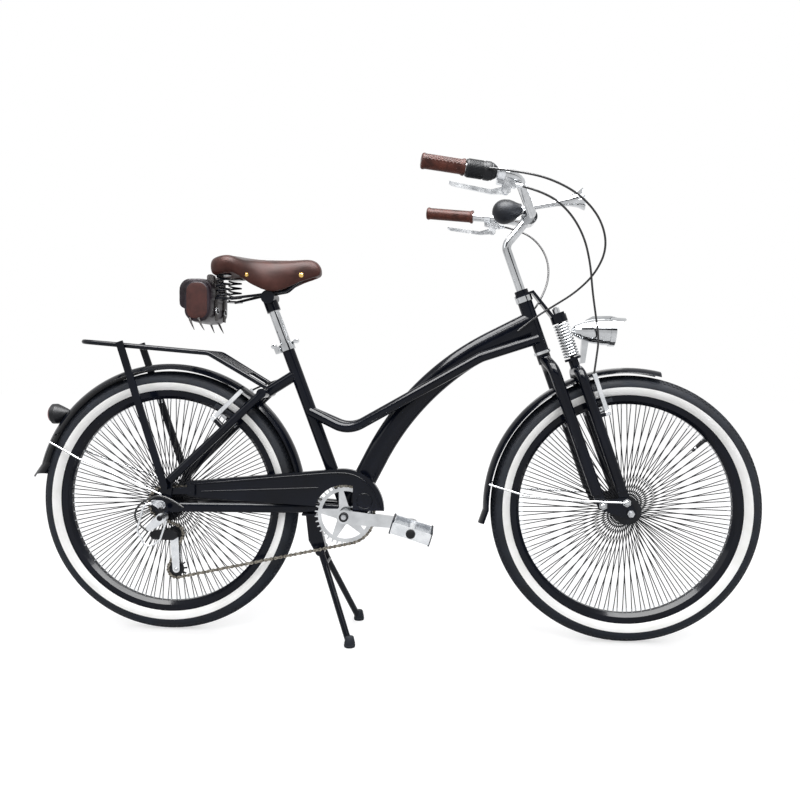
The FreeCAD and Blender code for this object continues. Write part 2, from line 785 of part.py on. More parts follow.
yoke = V(yoke_ahead, 0, yoke_height)
stay_axis = (V(yoke_ahead, 0, yoke_height) - stay_foot).normalize()
stud_dir = V(-stay_axis.z, 0, stay_axis.x)
rear_pivot = stay_foot + stay_axis * rear_stud_up_stay + stud_dir * rear_stud_length
monostay_root = bottom_bracket + seat_dir * monostay_rise
seatstay_parts = [cylinder(monostay_root, yoke, monostay_radius)]
seatstay_parts.append(cross_cylinder(yoke, -yoke_half_width, yoke_half_width, yoke_radius))
for side in sides:
    top, foot = yoke + across * (side * stay_top_offset), stay_foot + across * (side * dropout_y)
    seatstay_parts.append(cylinder(top, foot, seatstay_radius))
    stud_y = across * (side * brake_half_span)
    root = rear_pivot - stud_dir * rear_stud_length + stud_y
    seatstay_parts.append(cylinder(root, rear_pivot + stud_y, stud_radius))
    pin_tip = rear_pivot + stud_dir * (brake_arm_thickness + 2) + stud_y
    seatstay_parts.append(cylinder(root, pin_tip, brake_pin_radius))
stay_bores = []
for side in sides:
    top, foot = yoke + across * (side * stay_top_offset), stay_foot + across * (side * dropout_y)
    span = (foot - top).normalize()
    stay_bores.append(cylinder(top + span * 40, foot, seatstay_radius - seatstay_wall))
seatstay_solid = joined(seatstay_parts).cut(seat_solid)
for bore in stay_bores:
    seatstay_solid = seatstay_solid.cut(bore)
for plate in dropouts:
    seatstay_solid = seatstay_solid.cut(plate)
nodes["seatstays"] = max(seatstay_solid.Solids, key=lambda s: s.Volume)

# Headset and seat collar
lower_cup = cylinder(steer(0, head_tube_low - headset_cup_height), steer(0, head_tube_low), headset_cup_radius)
head_top_b = head_tube_low + head_tube_length
upper_cup = cylinder(steer(0, head_top_b), steer(0, head_top_b + headset_top_height), headset_cup_radius)
steerer_bore = cylinder(
    steer(0, head_tube_low - 20), steer(0, head_top_b + 40), steerer_radius + running_fit)
nodes["headset_cups"] = Part.makeCompound([lower_cup.cut(steerer_bore), upper_cup.cut(steerer_bore)])

collar_height = 18.0
collar_wall = 4.0
collar_low = seat_top - seat_dir * collar_height
collar = cylinder(collar_low, seat_top, seat_tube_radius + collar_wall)
collar_rear = V(-seat_dir.z, 0, seat_dir.x)
ears = local_prism(
    collar_low, collar_rear, seat_dir,
    [(seat_tube_radius, 1), (seat_tube_radius + 16, 1), (seat_tube_radius + 16, 17), (seat_tube_radius, 17)], 9)
collar_slot = local_prism(
    collar_low, collar_rear, seat_dir,
    [(seat_tube_radius - 2, -1), (seat_tube_radius + 18, -1), (seat_tube_radius + 18, 19), (seat_tube_radius - 2, 19)], 1)
clamp_bolt_at = collar_low + collar_rear * (seat_tube_radius + 10) + seat_dir * 9
clamp_bolt = cylinder(clamp_bolt_at - across * 13, clamp_bolt_at + across * 13, 4)
nodes["seat_clamp"] = joined([collar, ears]).cut(
    cylinder(collar_low - seat_dir, seat_top + seat_dir, seat_tube_radius + running_fit)).cut(collar_slot).fuse(
        clamp_bolt)

# Chain guard: flanged plate over the upper run, open round the chainring
guard_rear_top = V(58, 0, 390)
guard_front_top = V(443, 0, 428)
guard_nose = V(556, 0, 326)
cutout_x = bottom_bracket_ahead + 20
cutout_z = bottom_bracket_height + math.sqrt(guard_cutout_radius ** 2 - 20 ** 2)
cutout_angle = math.radians(163)
cutout_end = bottom_bracket + V(math.cos(cutout_angle), 0, math.sin(cutout_angle)) * guard_cutout_radius
cutout_middle = bottom_bracket + V(math.cos(2.1), 0, math.sin(2.1)) * guard_cutout_radius
nose_bulge = V(528, 0, 396)
guard_rear_low = V(66, 0, 352)


def guard_face(y):
    lift = across * y
    edges = [
        Part.LineSegment(guard_rear_low + lift, guard_rear_top + lift).toShape(),
        Part.LineSegment(guard_rear_top + lift, guard_front_top + lift).toShape(),
        Part.Arc(guard_front_top + lift, nose_bulge + lift, guard_nose + lift).toShape(),
        Part.LineSegment(guard_nose + lift, V(cutout_x, y, guard_nose.z)).toShape(),
        Part.LineSegment(V(cutout_x, y, guard_nose.z), V(cutout_x, y, cutout_z)).toShape(),
        Part.Arc(V(cutout_x, y, cutout_z), cutout_middle + lift, cutout_end + lift).toShape(),
        Part.LineSegment(cutout_end + lift, guard_rear_low + lift).toShape(),
    ]
    return Part.Face(Part.Wire(edges))


guard_plate = guard_face(-guard_outer).extrude(across * guard_sheet)
flange_path = Part.Wire([
    Part.LineSegment(guard_rear_top, guard_front_top).toShape(), Part.Arc(guard_front_top, nose_bulge, guard_nose).toShape()])
flange_band = flange_path.extrude(across * guard_flange)
flange_band.translate(across * -guard_outer)
flange_drop = V(0.04, 0, -1).normalize() * guard_sheet
guard_flange_solid = Part.makeCompound([
    flange_band.Faces[0].extrude(flange_drop), flange_band.Faces[1].extrude(V(-1, 0, -0.6).normalize() * guard_sheet)])
inner_plate_y = -(cup_end + seat_gap)
arm_end = V(545, 0, 344)
guard_arm = link_plate(bottom_bracket, 18, arm_end, 9, inner_plate_y - guard_sheet, inner_plate_y)
guard_arm = guard_arm.cut(cross_cylinder(bottom_bracket, -60, 0, spindle_radius + 1.5))
arm_post = cross_cylinder(arm_end, -guard_outer + guard_sheet / 2, inner_plate_y, 4)
guard_rib = link_plate(V(90, 0, 380), 3, V(400, 0, 405), 3, -guard_outer - 1, -guard_outer)
guard_disc = cross_cylinder(V(507, 0, 350), -guard_outer - 1, -guard_outer, 19)
rear_tab = prism([(64, 384), (82, 384), (82, 356), (64, 356)], -guard_outer, 1.2 - dropout_inner)
guard_tab_bar = prism([(14, 374), (82, 380), (82, 362), (20, 358)], -dropout_inner + 2.2, -dropout_inner + 0.2)
nodes["chain_guard"] = joined(
    [guard_plate] + guard_flange_solid.Solids + [guard_arm, arm_post, guard_rib, guard_disc, rear_tab, guard_tab_bar])

# Mudguards: rolled sheet with a rounded section and a flared flap


def mudguard_section(centre, angle):
    """Face of the rolled sheet at one angle round the wheel."""
    out = V(math.cos(math.radians(angle)), 0, math.sin(math.radians(angle)))
    low = mudguard_radius - mudguard_side_drop

    def at(r, y):
        return centre + out * r + across * y

    half, sheet = mudguard_half_width, mudguard_sheet
    outer = Part.Arc(at(low, -half), at(mudguard_radius, 0), at(low, half))
    inner = Part.Arc(at(low, half - sheet), at(mudguard_radius - sheet, 0), at(low, sheet - half))
    edges = [
        outer.toShape(), Part.LineSegment(at(low, half), at(low, half - sheet)).toShape(), inner.toShape(),
        Part.LineSegment(at(low, sheet - half), at(low, -half)).toShape()]
    return Part.Face(Part.Wire(edges))


def flap_direction(angle):
    flare = math.radians(angle + 90 - flap_flare)
    return V(math.cos(flare), 0, math.sin(flare))


def mudguard(centre, front_angle, rear_angle):
    sheet = mudguard_section(centre, front_angle).revolve(centre, across, front_angle - rear_angle)
    flap = mudguard_section(centre, rear_angle).extrude(flap_direction(rear_angle) * flap_length)
    return sheet.fuse(flap)


def polar(centre, radius, angle, y=0.0):
    turn = math.radians(angle)
    return centre + V(radius * math.cos(turn), y, radius * math.sin(turn))


rear_guard = mudguard(rear_axle, rear_mudguard_front_angle, rear_mudguard_rear_angle)
yoke_angle = math.degrees(math.atan2(yoke.z - rear_axle.z, yoke.x))
yoke_reach = math.hypot(yoke.z - rear_axle.z, yoke.x)
guard_tab = cylinder(
    polar(rear_axle, mudguard_radius - 1, yoke_angle), polar(rear_axle, yoke_reach - yoke_radius - 0.1, yoke_angle), 9)
nodes["rear_fender"] = rear_guard.fuse(guard_tab)
lip_radius = mudguard_radius - mudguard_side_drop + 5
lip_y = mudguard_half_width + stay_wire_radius + 0.1
rear_stay_angle = 154.0
rear_stay_parts = []
for side in sides:
    start = polar(rear_axle, lip_radius, rear_stay_angle, side * lip_y)
    eye = rear_axle + V(0, side * (dropout_outer + stay_wire_radius + 1), 27)
    knee = V(-225, side * 44, 442)
    rear_stay_parts.append(rod([start, knee, eye], stay_wire_radius, 60))
nodes["rear_fender_stays"] = Part.makeCompound(rear_stay_parts)

light_centre = polar(rear_axle, mudguard_radius + 12, tail_light_angle)
light_rear = V(light_centre.x - 24, 0, light_centre.z)
light_profile = [(0, 0), (0, tail_light_radius - 3), (3, tail_light_radius), (14, tail_light_radius)]
light_profile += [(34, tail_light_radius * 0.62), (tail_light_length, 6), (tail_light_length, 0)]
light_body = turned_along(light_profile, light_rear, V(1, 0, 0.04))
nodes["tail_light"] = light_body.cut(
    cross_cylinder(rear_axle, -60, 60, mudguard_radius + 0.15))

# Rack
rail_end_dir = V(0.48, 0, 0.88).normalize()
rail_end = yoke + rail_end_dir * (yoke_radius + rack_rail_radius + seat_gap)
rail_points = []
for side in sides:
    run = [
        rail_end + across * (side * (stay_top_offset - 2)), V(rack_bend_ahead, side * rack_half_width, rack_bend_height),
        V(rack_rear_ahead, side * rack_half_width, rack_rear_height)]
    rail_points += run if side < 0 else run[::-1]
rack_parts = [rod(rail_points, rack_rail_radius, 32)]
slat_front = V(rack_bend_ahead, 0, rack_bend_height) + (rail_end - V(rack_bend_ahead, 0, rack_bend_height)) * 0.62
for k in (-1, 0, 1):
    slat = [
        V(rack_rear_ahead, k * rack_slat_spacing, rack_rear_height),
        V(rack_bend_ahead, k * rack_slat_spacing, rack_bend_height), slat_front + across * (k * rack_slat_spacing)]
    rack_parts.append(rod(slat, rack_slat_radius, 32))
deck_slope = (rack_rear_height - rack_bend_height) / (rack_rear_ahead - rack_bend_ahead)
for x in (-110.0, 60.0):
    z = rack_rear_height + deck_slope * (x - rack_rear_ahead)
    rack_parts.append(cross_cylinder(V(x, 0, z - 2), -rack_half_width, rack_half_width, rack_cross_radius))
slat_end = slat_front + (slat_front - rail_end).normalize() * 5 - V(0, 0, 1)
rack_parts.append(cross_cylinder(slat_end, 10 - rack_half_width, rack_half_width - 10, rack_cross_radius))
rack_deck = joined(rack_parts)
rack_legs = []
leg_wide, leg_thick = 18.0, 5.0
for side in sides:
    top = V(-104, side * (rack_half_width + rack_rail_radius + leg_thick / 2 + 0.2), 731)
    low = rear_axle + V(12, side * (dropout_y + seatstay_radius + leg_thick / 2 + 0.4), 46)
    along = (low - top).normalize()
    flat = along.cross(across).normalize()
    leg = local_prism(top, flat, along, [
        (-leg_wide / 2, -8), (leg_wide / 2, -8), (leg_wide / 2, (low - top).Length - 4), (5, (low - top).Length + 8),
        (-5, (low - top).Length + 8), (-leg_wide / 2, (low - top).Length - 4)], leg_thick / 2)
    rack_legs.append(leg)
nodes["rear_rack"] = Part.makeCompound([rack_deck] + rack_legs)

# Seat post, saddle carrier with coil springs, saddle and bag
post_top = bottom_bracket + seat_dir * (saddle_clamp_up - 4)
post_low = seat_top - seat_dir * post_insertion
nodes["seat_post"] = cylinder(post_low, post_top, seat_post_radius)
clamp_centre = bottom_bracket + seat_dir * saddle_clamp_up
carrier = [cylinder(post_top - seat_dir * 26, clamp_centre + seat_dir * 4, seat_post_radius + 4)]
carrier.append(cross_cylinder(V(clamp_centre.x, 0, rail_height - 4), -30, 30, 17))
spring_low_seat = saddle_spring_low - spring_seat_thickness
saddle_underside = saddle_spring_low + saddle_spring_height + spring_seat_thickness + seat_gap
nose_rail_z = saddle_top - 48
for side in sides:
    rail = [
        V(saddle_nose_ahead - 34, side * 6, nose_rail_z + 14), V(300, side * 12, rail_height + 12),
        V(clamp_centre.x - 34, side * rail_half_gap, rail_height),
        V(saddle_spring_ahead, side * saddle_spring_half_gap, spring_low_seat + 1)]
    carrier.append(rod(rail, rail_radius, 24))
    foot = V(saddle_spring_ahead, side * saddle_spring_half_gap, spring_low_seat)
    carrier.append(Part.makeCylinder(spring_seat_radius, spring_seat_thickness, foot))
carrier_solid = joined(carrier).cut(
    cylinder(post_low, post_top, seat_post_radius + running_fit))
carrier_parts = [carrier_solid]
for side in sides:
    foot = V(saddle_spring_ahead, side * saddle_spring_half_gap, saddle_spring_low + saddle_spring_wire + 0.2)
    coil_height = saddle_spring_height - 2 * saddle_spring_wire - 0.4
    carrier_parts.append(spring(
        foot, V(0, 0, 1), saddle_spring_radius, saddle_spring_wire, coil_height, saddle_spring_turns, "saddle spring"))
    cap = V(saddle_spring_ahead, side * saddle_spring_half_gap, saddle_spring_low + saddle_spring_height)
    carrier_parts.append(Part.makeCylinder(spring_seat_radius, spring_seat_thickness, cap))
nodes["saddle_frame"] = Part.makeCompound(carrier_parts)


def saddle_section(x, half_width, low, high):
    """Crowned section with drawn-in sides, square to the long axis."""
    height = high - low
    foot, belly, shoulder = 0.86 * half_width, half_width, 0.74 * half_width

    def at(y, z):
        return V(x, y, z)

    return Part.Wire([
        Part.LineSegment(at(-foot, low), at(foot, low)).toShape(),
        Part.Arc(at(foot, low), at(belly, low + 0.5 * height), at(shoulder, high - 0.13 * height)).toShape(),
        Part.Arc(at(shoulder, high - 0.13 * height), at(0, high), at(-shoulder, high - 0.13 * height)).toShape(),
        Part.Arc(at(-shoulder, high - 0.13 * height), at(-belly, low + 0.5 * height), at(-foot, low)).toShape()])


skirt_low = saddle_top - saddle_skirt_drop
saddle_plan = (
    (saddle_rear_ahead, 0.72, saddle_underside + 6, saddle_top - 4),
    (saddle_rear_ahead + 28, 0.98, saddle_underside + 1.3, saddle_top + 10),
    (saddle_rear_ahead + 64, 1.0, saddle_underside + 1.3, saddle_top + 7),
    (saddle_rear_ahead + 115, 0.66, skirt_low + 12, saddle_top),
    (saddle_rear_ahead + 165, 0.40, skirt_low, saddle_top - 1),
    (saddle_nose_ahead - 50, 0.29, skirt_low + 24, saddle_top + 1),
    (saddle_nose_ahead - 14, 0.24, skirt_low + 36, saddle_top - 3),
    (saddle_nose_ahead, 0.15, skirt_low + 44, saddle_top - 22))
saddle_outer = Part.makeLoft(
    [saddle_section(x, w * saddle_half_width, low, high) for x, w, low, high in saddle_plan], True, False)
saddle_hollow = Part.makeLoft(
    [saddle_section(x, w * saddle_half_width - saddle_wall, low - 6, high - saddle_wall)
     for x, w, low, high in saddle_plan[3:7]], True, False)
nodes["saddle"] = saddle_outer.cut(saddle_hollow)

bag_front = bag_rear_ahead + bag_depth
bag_outline = [
    V(bag_rear_ahead + 12, 0, bag_low), V(bag_front - 6, 0, bag_low), V(bag_front, 0, bag_low + 12),
    V(bag_front, 0, bag_low + bag_height - 10), V(bag_front - 20, 0, bag_low + bag_height),
    V(bag_rear_ahead + 22, 0, bag_low + bag_height), V(bag_rear_ahead, 0, bag_low + bag_height - 34),
    V(bag_rear_ahead, 0, bag_low + 16)]
bag_body = prism([(p.x, p.z) for p in bag_outline], -bag_half_width, bag_half_width)
bag_body = bag_body.makeFillet(9, [e for e in bag_body.Edges if abs(e.tangentAt(0).y) < 0.5])
strap_x = bag_front - 14
for side in sides:
    strap = prism(
        [(strap_x - 8, bag_low + bag_height - 12), (strap_x + 8, bag_low + bag_height - 12),
         (strap_x + 8, saddle_underside - 1), (strap_x - 6, saddle_underside - 1)],
        side * 34 - 9, side * 34 + 9)
    bag_body = bag_body.fuse(strap)
nodes["tool_bag"] = bag_body

# Crank set and pedals
crank_turn = math.radians(crank_angle)
crank_dir = V(math.cos(crank_turn), 0, math.sin(crank_turn))
crank_outer = crank_inner + crank_thickness
ring_hub_radius = 15.0
crank_parts = [cross_cylinder(bottom_bracket, -crank_outer - 3, crank_outer + 3, spindle_radius)]
ring_y = -chain_line
for side in sides:
    eye = bottom_bracket + crank_dir * (-side * crank_length)
    arm = link_plate(bottom_bracket, crank_hub_radius, eye, crank_eye_radius, side * crank_inner, side * crank_outer)
    boss_inner = chain_line - 3 if side < 0 else cup_end + 2
    boss = cross_cylinder(bottom_bracket, side * boss_inner, side * crank_inner, ring_hub_radius)
    spindle_end = crank_outer + pedal_offset + pedal_width - 4
    spindle = cross_cylinder(eye, side * crank_inner, side * spindle_end, pedal_spindle_radius)
    crank_parts += [arm, boss, spindle]
nodes["crank_arms"] = joined(crank_parts)

ring_pitch = pitch_radius(ring_teeth)
ring_disc = sprocket(bottom_bracket, ring_teeth, ring_y, ring_pitch - 13, pin_angle_on(bottom_bracket, ring_teeth))
ring_parts = [ring_disc]
ring_parts.append(cross_cylinder(bottom_bracket, ring_y - 1.5, ring_y + 1.5, ring_hub_radius + 9))
for k in range(5):
    tip = bottom_bracket + V(math.cos(math.radians(28 + 72 * k)), 0, math.sin(math.radians(28 + 72 * k))) * (ring_pitch - 12)
    ring_parts.append(link_plate(bottom_bracket, 15, tip, 6, ring_y - 1, ring_y + 1))
ring_solid = joined(ring_parts)
nodes["chainring"] = ring_solid.cut(cross_cylinder(bottom_bracket, -60, -30, ring_hub_radius + running_fit))


def make_pedal(side):
    eye = bottom_bracket + crank_dir * (-side * crank_length)
    inner_y = crank_outer + pedal_offset
    middle_y = side * (inner_y + pedal_width / 2)
    half_l, half_w, half_h = pedal_length / 2, pedal_width / 2, pedal_height / 2
    wall = 4.0
    body = Part.makeBox(pedal_length, pedal_width, pedal_height, V(-half_l, -half_w, -half_h))
    hollow = Part.makeBox(
        pedal_length - 2 * wall, pedal_width - 2 * wall, pedal_height + 2, V(wall - half_l, wall - half_w, -half_h - 1))
    body = body.cut(hollow)
    for k in range(6):
        notch_y = -half_w + 10 + k * (pedal_width - 20) / 5
        for level in (-half_h - 3, half_h - 3):
            body = body.cut(Part.makeBox(pedal_length + 2, 7, 6, V(-half_l - 1, notch_y - 3.5, level)))
    barrel = Part.makeCylinder(10, pedal_width, V(0, -half_w, 0), across)
    webs = [Part.makeBox(pedal_length - 2, 3, 9, V(1 - half_l, y, -4.5)) for y in (-half_w / 2, half_w / 2 - 3)]
    body = joined([body, barrel] + webs)
    body = body.cut(Part.makeCylinder(
        pedal_spindle_radius + running_fit, pedal_width - 2, V(0, -half_w - 1 if side > 0 else 3 - half_w, 0), across))
    body.Placement = FreeCAD.Placement(
        V(eye.x, middle_y, eye.z), FreeCAD.Rotation(across, pedal_tilt))
    return body


nodes["right_pedal"] = make_pedal(-1)
nodes["left_pedal"] = make_pedal(1)

# Derailleur: fixed link body and wire guard, moving knuckle, cage and jockey wheels
cage_half_gap = 5.0
cage_sheet = 1.5
guide_pin_radius = 4.0
knuckle_y = -(chain_line + cage_half_gap + cage_sheet + 0.4)
body_outer = dropout_outer + 17
hanger = cross_cylinder(hanger_foot, -dropout_outer - 0.1, -body_outer, 12)
link_foot = V(-24, 0, 278)
fixed_link = link_plate(hanger_foot, 12, link_foot, 9, -body_outer, -body_outer + 12)
guard_loop = [
    rear_axle + V(-20, -dropout_outer - 17.6, 6), rear_axle + V(-34, -96, 6), rear_axle + V(-52, -97, -60),
    rear_axle + V(-28, -97, -104), rear_axle + V(6, -97, -84), rear_axle + V(22, -95, -34)]
wire_guard = rod(guard_loop, 2.5, 18)
guard_foot = rear_axle + V(-20, 0, 6)
guard_plate_foot = link_plate(rear_axle, 11, guard_foot, 6, -dropout_outer - 0.1, -dropout_outer - washer + 0.1)
guard_plate_foot = guard_plate_foot.cut(cross_cylinder(rear_axle, -100, 0, axle_radius + running_fit))
guard_eye = cross_cylinder(guard_foot, -dropout_outer - 1, -dropout_outer - 20, 4)
nodes["derailleur_body"] = Part.makeCompound([hanger.fuse(fixed_link), joined([wire_guard, guard_eye, guard_plate_foot])])

knuckle_outer = knuckle_y - 15
knuckle_link = V(-20, 0, 255)
knuckle = link_plate(guide_centre, 13, knuckle_link, 11, knuckle_y, knuckle_outer)
guide_pin = cross_cylinder(guide_centre, knuckle_y, -chain_line + cage_half_gap + cage_sheet + 1, guide_pin_radius)
nodes["derailleur_knuckle"] = knuckle.fuse(guide_pin).cut(
    link_plate(hanger_foot, 12 + seat_gap, link_foot, 9 + seat_gap, -150, 0))

cage_plates = []
for direction in sides:
    inner = -chain_line + direction * cage_half_gap
    plate = link_plate(guide_centre, 11, tension_jockey, 9, inner, inner + direction * cage_sheet)
    cage_plates.append(plate)
tension_pin = cross_cylinder(
    tension_jockey, -chain_line - cage_half_gap - 1, -chain_line + cage_half_gap + 1, guide_pin_radius)
nodes["derailleur_cage"] = joined(cage_plates + [tension_pin]).cut(
    cross_cylinder(guide_centre, -80, 0, guide_pin_radius + running_fit))
for name, centre in (("upper_jockey_wheel", guide_centre), ("lower_jockey_wheel", tension_jockey)):
    wheel = sprocket(centre, jockey_teeth, -chain_line, guide_pin_radius + running_fit, pin_angle_on(centre, jockey_teeth))
    hub = cross_cylinder(centre, -chain_line - cage_half_gap + 0.3, -chain_line + cage_half_gap - 0.3, 7)
    nodes[name] = wheel.fuse(hub).cut(cross_cylinder(centre, -80, 0, guide_pin_radius + running_fit))

# Kickstand legs
stand_parts = []
leg_hub_inner = lug_half + seat_gap
leg_hub_outer = leg_hub_inner + 2 * stand_leg_radius + 1
leg_y = (leg_hub_inner + leg_hub_outer) / 2
for side in sides:
    hub = cross_cylinder(stand_pivot, side * leg_hub_inner, side * leg_hub_outer, 12)
    leg_points = [
        stand_pivot + V(2, side * leg_y, -4), stand_pivot + V(14, side * (leg_y + 6), -36),
        V(stand_foot_ahead, side * stand_foot_half_span, 4)]
    leg = rod(leg_points, stand_leg_radius, 60)
    foot = Part.makeCylinder(stand_foot_radius, 8, V(stand_foot_ahead, side * stand_foot_half_span, 0))
    stand_parts += [hub, leg, foot]
stand_parts.append(cross_cylinder(stand_pivot + V(16, 0, -30), -leg_y - 6, leg_y + 6, 5))
floor_cut = Part.makeBox(400, 400, 50, V(stand_foot_ahead - 200, -200, -50))
nodes["kickstand_legs"] = joined(stand_parts).cut(floor_cut).cut(
    cross_cylinder(stand_pivot, -60, 60, stand_pin_radius + running_fit))

# Springer fork: steered legs, rocker links and sprung struts
lug_outer = lug_inner + lug_thickness
rocker_inner = lug_outer + seat_gap
rocker_outer = rocker_inner + rocker_thickness
crown_top = head_tube_low - headset_cup_height - seat_gap
perch_thickness = 6.0
perch_low_b = head_top_b + headset_top_height + seat_gap
fork_parts = [cylinder(steer(0, crown_top - 24), steer(0, crown_top), crown_radius)]
steerer_top = perch_low_b + perch_thickness + 10
fork_parts.append(cylinder(steer(0, crown_top - 24), steer(0, steerer_top), steerer_radius))
for side in sides:
    leg_points = [
        steer(0, crown_top - 13, side * 6), steer(fork_leg_a, crown_top - 42, side * fork_leg_half_span),
        steer(fork_leg_a, 44, side * fork_leg_half_span)]
    fork_parts.append(tube(leg_points, fork_leg_radius, 2, 34))
    lug_y = (side * lug_inner, side * lug_outer)
    fork_parts.append(link_plate(
        steer(fork_leg_a, 62), lug_radius, steer(rocker_pivot_a, rocker_pivot_b), lug_radius, *lug_y))
    pivot = steer(rocker_pivot_a, rocker_pivot_b)
    fork_parts.append(cross_cylinder(pivot, side * lug_inner, side * (rocker_outer + 1), pivot_bolt_radius))
    fork_parts.append(cross_cylinder(
        pivot, side * (rocker_outer + seat_gap), side * (rocker_outer + seat_gap + bolt_head_height), bolt_head_radius))
perch_outline = [
    (-19, perch_low_b), (-19, perch_low_b + perch_thickness), (headset_cup_radius + 7, perch_low_b + perch_thickness),
    (54, spring_perch_b), (strut_a + 15, spring_perch_b), (strut_a + 15, spring_cap_b), (48, spring_cap_b), (headset_cup_radius + 2, perch_low_b)]
perch = prism(
    [(steer(a, b).x, steer(a, b).z) for a, b in perch_outline], -14, 14)
spring_cap = cylinder(steer(strut_a, spring_high_b + 0.5), steer(strut_a, spring_cap_b), 20)
rod_hole = cylinder(steer(strut_a, spring_high_b - 5), steer(strut_a, spring_perch_b + 5), spring_rod_radius + 3)
locknut = cylinder(steer(0, perch_low_b + perch_thickness), steer(0, steerer_top), crown_radius)
steerer_hole = cylinder(steer(0, crown_top - 30), steer(0, steerer_top + 5), steerer_radius - steerer_wall)
fork_solid = joined(fork_parts + [perch, spring_cap, locknut])
nodes["springer_fork"] = fork_solid.cut(rod_hole).cut(steerer_hole)
coil_low = spring_low_b + fork_spring_wire + 0.2
coil_high = spring_high_b - fork_spring_wire - 0.2
nodes["fork_spring"] = spring(
    steer(strut_a, coil_low), steer_up, fork_spring_radius, fork_spring_wire, coil_high - coil_low,
    fork_spring_turns, "fork spring")

rocker_pivot = steer(rocker_pivot_a, rocker_pivot_b)
strut_pivot = steer(strut_a, strut_pivot_b)
rocker_parts = []
for side in sides:
    y_pair = (side * rocker_inner, side * rocker_outer)
    plate = joined([
        link_plate(rocker_pivot, lug_radius, strut_pivot, lug_radius, *y_pair),
        link_plate(strut_pivot, lug_radius, front_axle, rocker_axle_radius, *y_pair),
        link_plate(rocker_pivot, lug_radius, front_axle, rocker_axle_radius, *y_pair)])
    for centre in (rocker_pivot, strut_pivot, front_axle):
        plate = plate.cut(cross_cylinder(centre, -100, 100, pivot_bolt_radius + running_fit))
    rocker_parts.append(plate)
nodes["rocker_links"] = Part.makeCompound(rocker_parts)

front_axle_parts = [cross_cylinder(front_axle, -rocker_outer - nut_length - 4, rocker_outer + nut_length + 4, axle_radius)]
for side in sides:
    front_axle_parts.append(hexagon(
        front_axle, side * (rocker_outer + 0.1), side * (rocker_outer + nut_length), nut_radius))
    front_axle_parts.append(cross_cylinder(
        front_axle, side * (front_hub_half_length + seat_gap), side * (rocker_inner - 0.1), nut_radius - 1))
nodes["front_axle"] = joined(front_axle_parts)

bridge_b = axle_b + mudguard_radius + strut_leg_radius + seat_gap
strut_points = [
    steer(strut_a, 32, -strut_half_span), steer(strut_a, bridge_b, -strut_half_span),
    steer(strut_a, bridge_b, strut_half_span), steer(strut_a, 32, strut_half_span)]
neck_radius = strut_leg_radius - 1
strut_parts = [tube(strut_points, strut_leg_radius, strut_wall, 26)]
strut_parts.append(cylinder(steer(strut_a, bridge_b), steer(strut_a, spring_low_b - 5), neck_radius))
strut_parts.append(cylinder(steer(strut_a, spring_low_b - 6), steer(strut_a, spring_low_b), 20))
strut_parts.append(cylinder(steer(strut_a, bridge_b), steer(strut_a, spring_perch_b + 16), spring_rod_radius))
strut_parts.append(cylinder(
    steer(strut_a, spring_perch_b + seat_gap), steer(strut_a, spring_perch_b + 13), bolt_head_radius))
front_pivot = steer(strut_a + front_stud_length, front_stud_height)
for side in sides:
    lug_y = (side * lug_inner, side * lug_outer)
    strut_parts.append(link_plate(steer(strut_a, 48), lug_radius, strut_pivot, lug_radius, *lug_y))
    strut_parts.append(cross_cylinder(strut_pivot, side * lug_inner, side * (rocker_outer + 1), pivot_bolt_radius))
    strut_parts.append(cross_cylinder(
        strut_pivot, side * (rocker_outer + seat_gap), side * (rocker_outer + seat_gap + bolt_head_height), bolt_head_radius))
    stud_y = side * brake_half_span
    strut_parts.append(cylinder(
        steer(strut_a, front_stud_height, stud_y), steer(strut_a + front_stud_length, front_stud_height, stud_y), stud_radius))
    strut_parts.append(cylinder(
        steer(strut_a, front_stud_height, stud_y),
        steer(strut_a + front_stud_length + brake_arm_thickness + 2, front_stud_height, stud_y), brake_pin_radius))
nodes["strut_legs"] = joined(strut_parts)

nodes["front_fender"] = mudguard(front_axle, front_mudguard_front_angle, front_mudguard_rear_angle)
front_stay_angle = 170.0
bolt_face = rocker_outer + seat_gap + bolt_head_height
front_stay_parts = []
for side in sides:
    start = polar(front_axle, lip_radius, front_stay_angle, side * lip_y)
    eye = V(strut_pivot.x, side * (bolt_face + stay_wire_radius + 0.1), strut_pivot.z)
    knee = V(900, side * 56, 371)
    clear = V(1010, side * (fork_leg_half_span + fork_leg_radius + 6), 364)
    front_stay_parts.append(rod([start, knee, clear, eye], stay_wire_radius, 60))
nodes["front_fender_stays"] = Part.makeCompound(front_stay_parts)

# V-brake arms with pads


def brake_arm(pivot, up, out, side, wheel):
    """Cast arm on a stud at the pivot, with a pad along the rim; up runs along the arm and out along the stud."""
    root = pivot + across * (side * brake_half_span) + out * seat_gap
    sideways = across * side
    arm = local_prism(
        root + out * (brake_arm_thickness / 2), sideways, up,
        [(-6, -7), (6, -7), (7.5, 10), (8, brake_arm_length * 0.6), (11, brake_arm_length), (2, brake_arm_length),
         (-2, brake_arm_length * 0.6), (-5.5, 12)], brake_arm_thickness / 2)
    barrel = cylinder(root, root + out * (brake_arm_thickness + 2), 8)
    pad_face = rim_width / 2 + pad_clearance
    pad_back = pad_face + 11
    pad_at = root + up * pad_rise + out * (brake_arm_thickness / 2)
    lift = sideways * (pad_back - brake_half_span)
    radial = V(pad_at.x - wheel.x, 0, pad_at.z - wheel.z).normalize()
    tangent = radial.cross(across)
    half_long, half_tall = 26.0, 4.5
    corners = [
        pad_at + lift + tangent * (half_long * x) + radial * (half_tall * z)
        for x, z in ((-1, -1), (1, -1), (1, 1), (-1, 1), (-1, -1))]
    pad = Part.Face(Part.makePolygon(corners)).extrude(sideways * (pad_face - pad_back))
    post = cylinder(pad_at + lift - sideways * 2, pad_at + sideways * 9, 3.5)
    solid = joined([arm, barrel, pad, post])
    return solid.cut(cylinder(root - out * 5, root + out * 30, brake_pin_radius + running_fit))


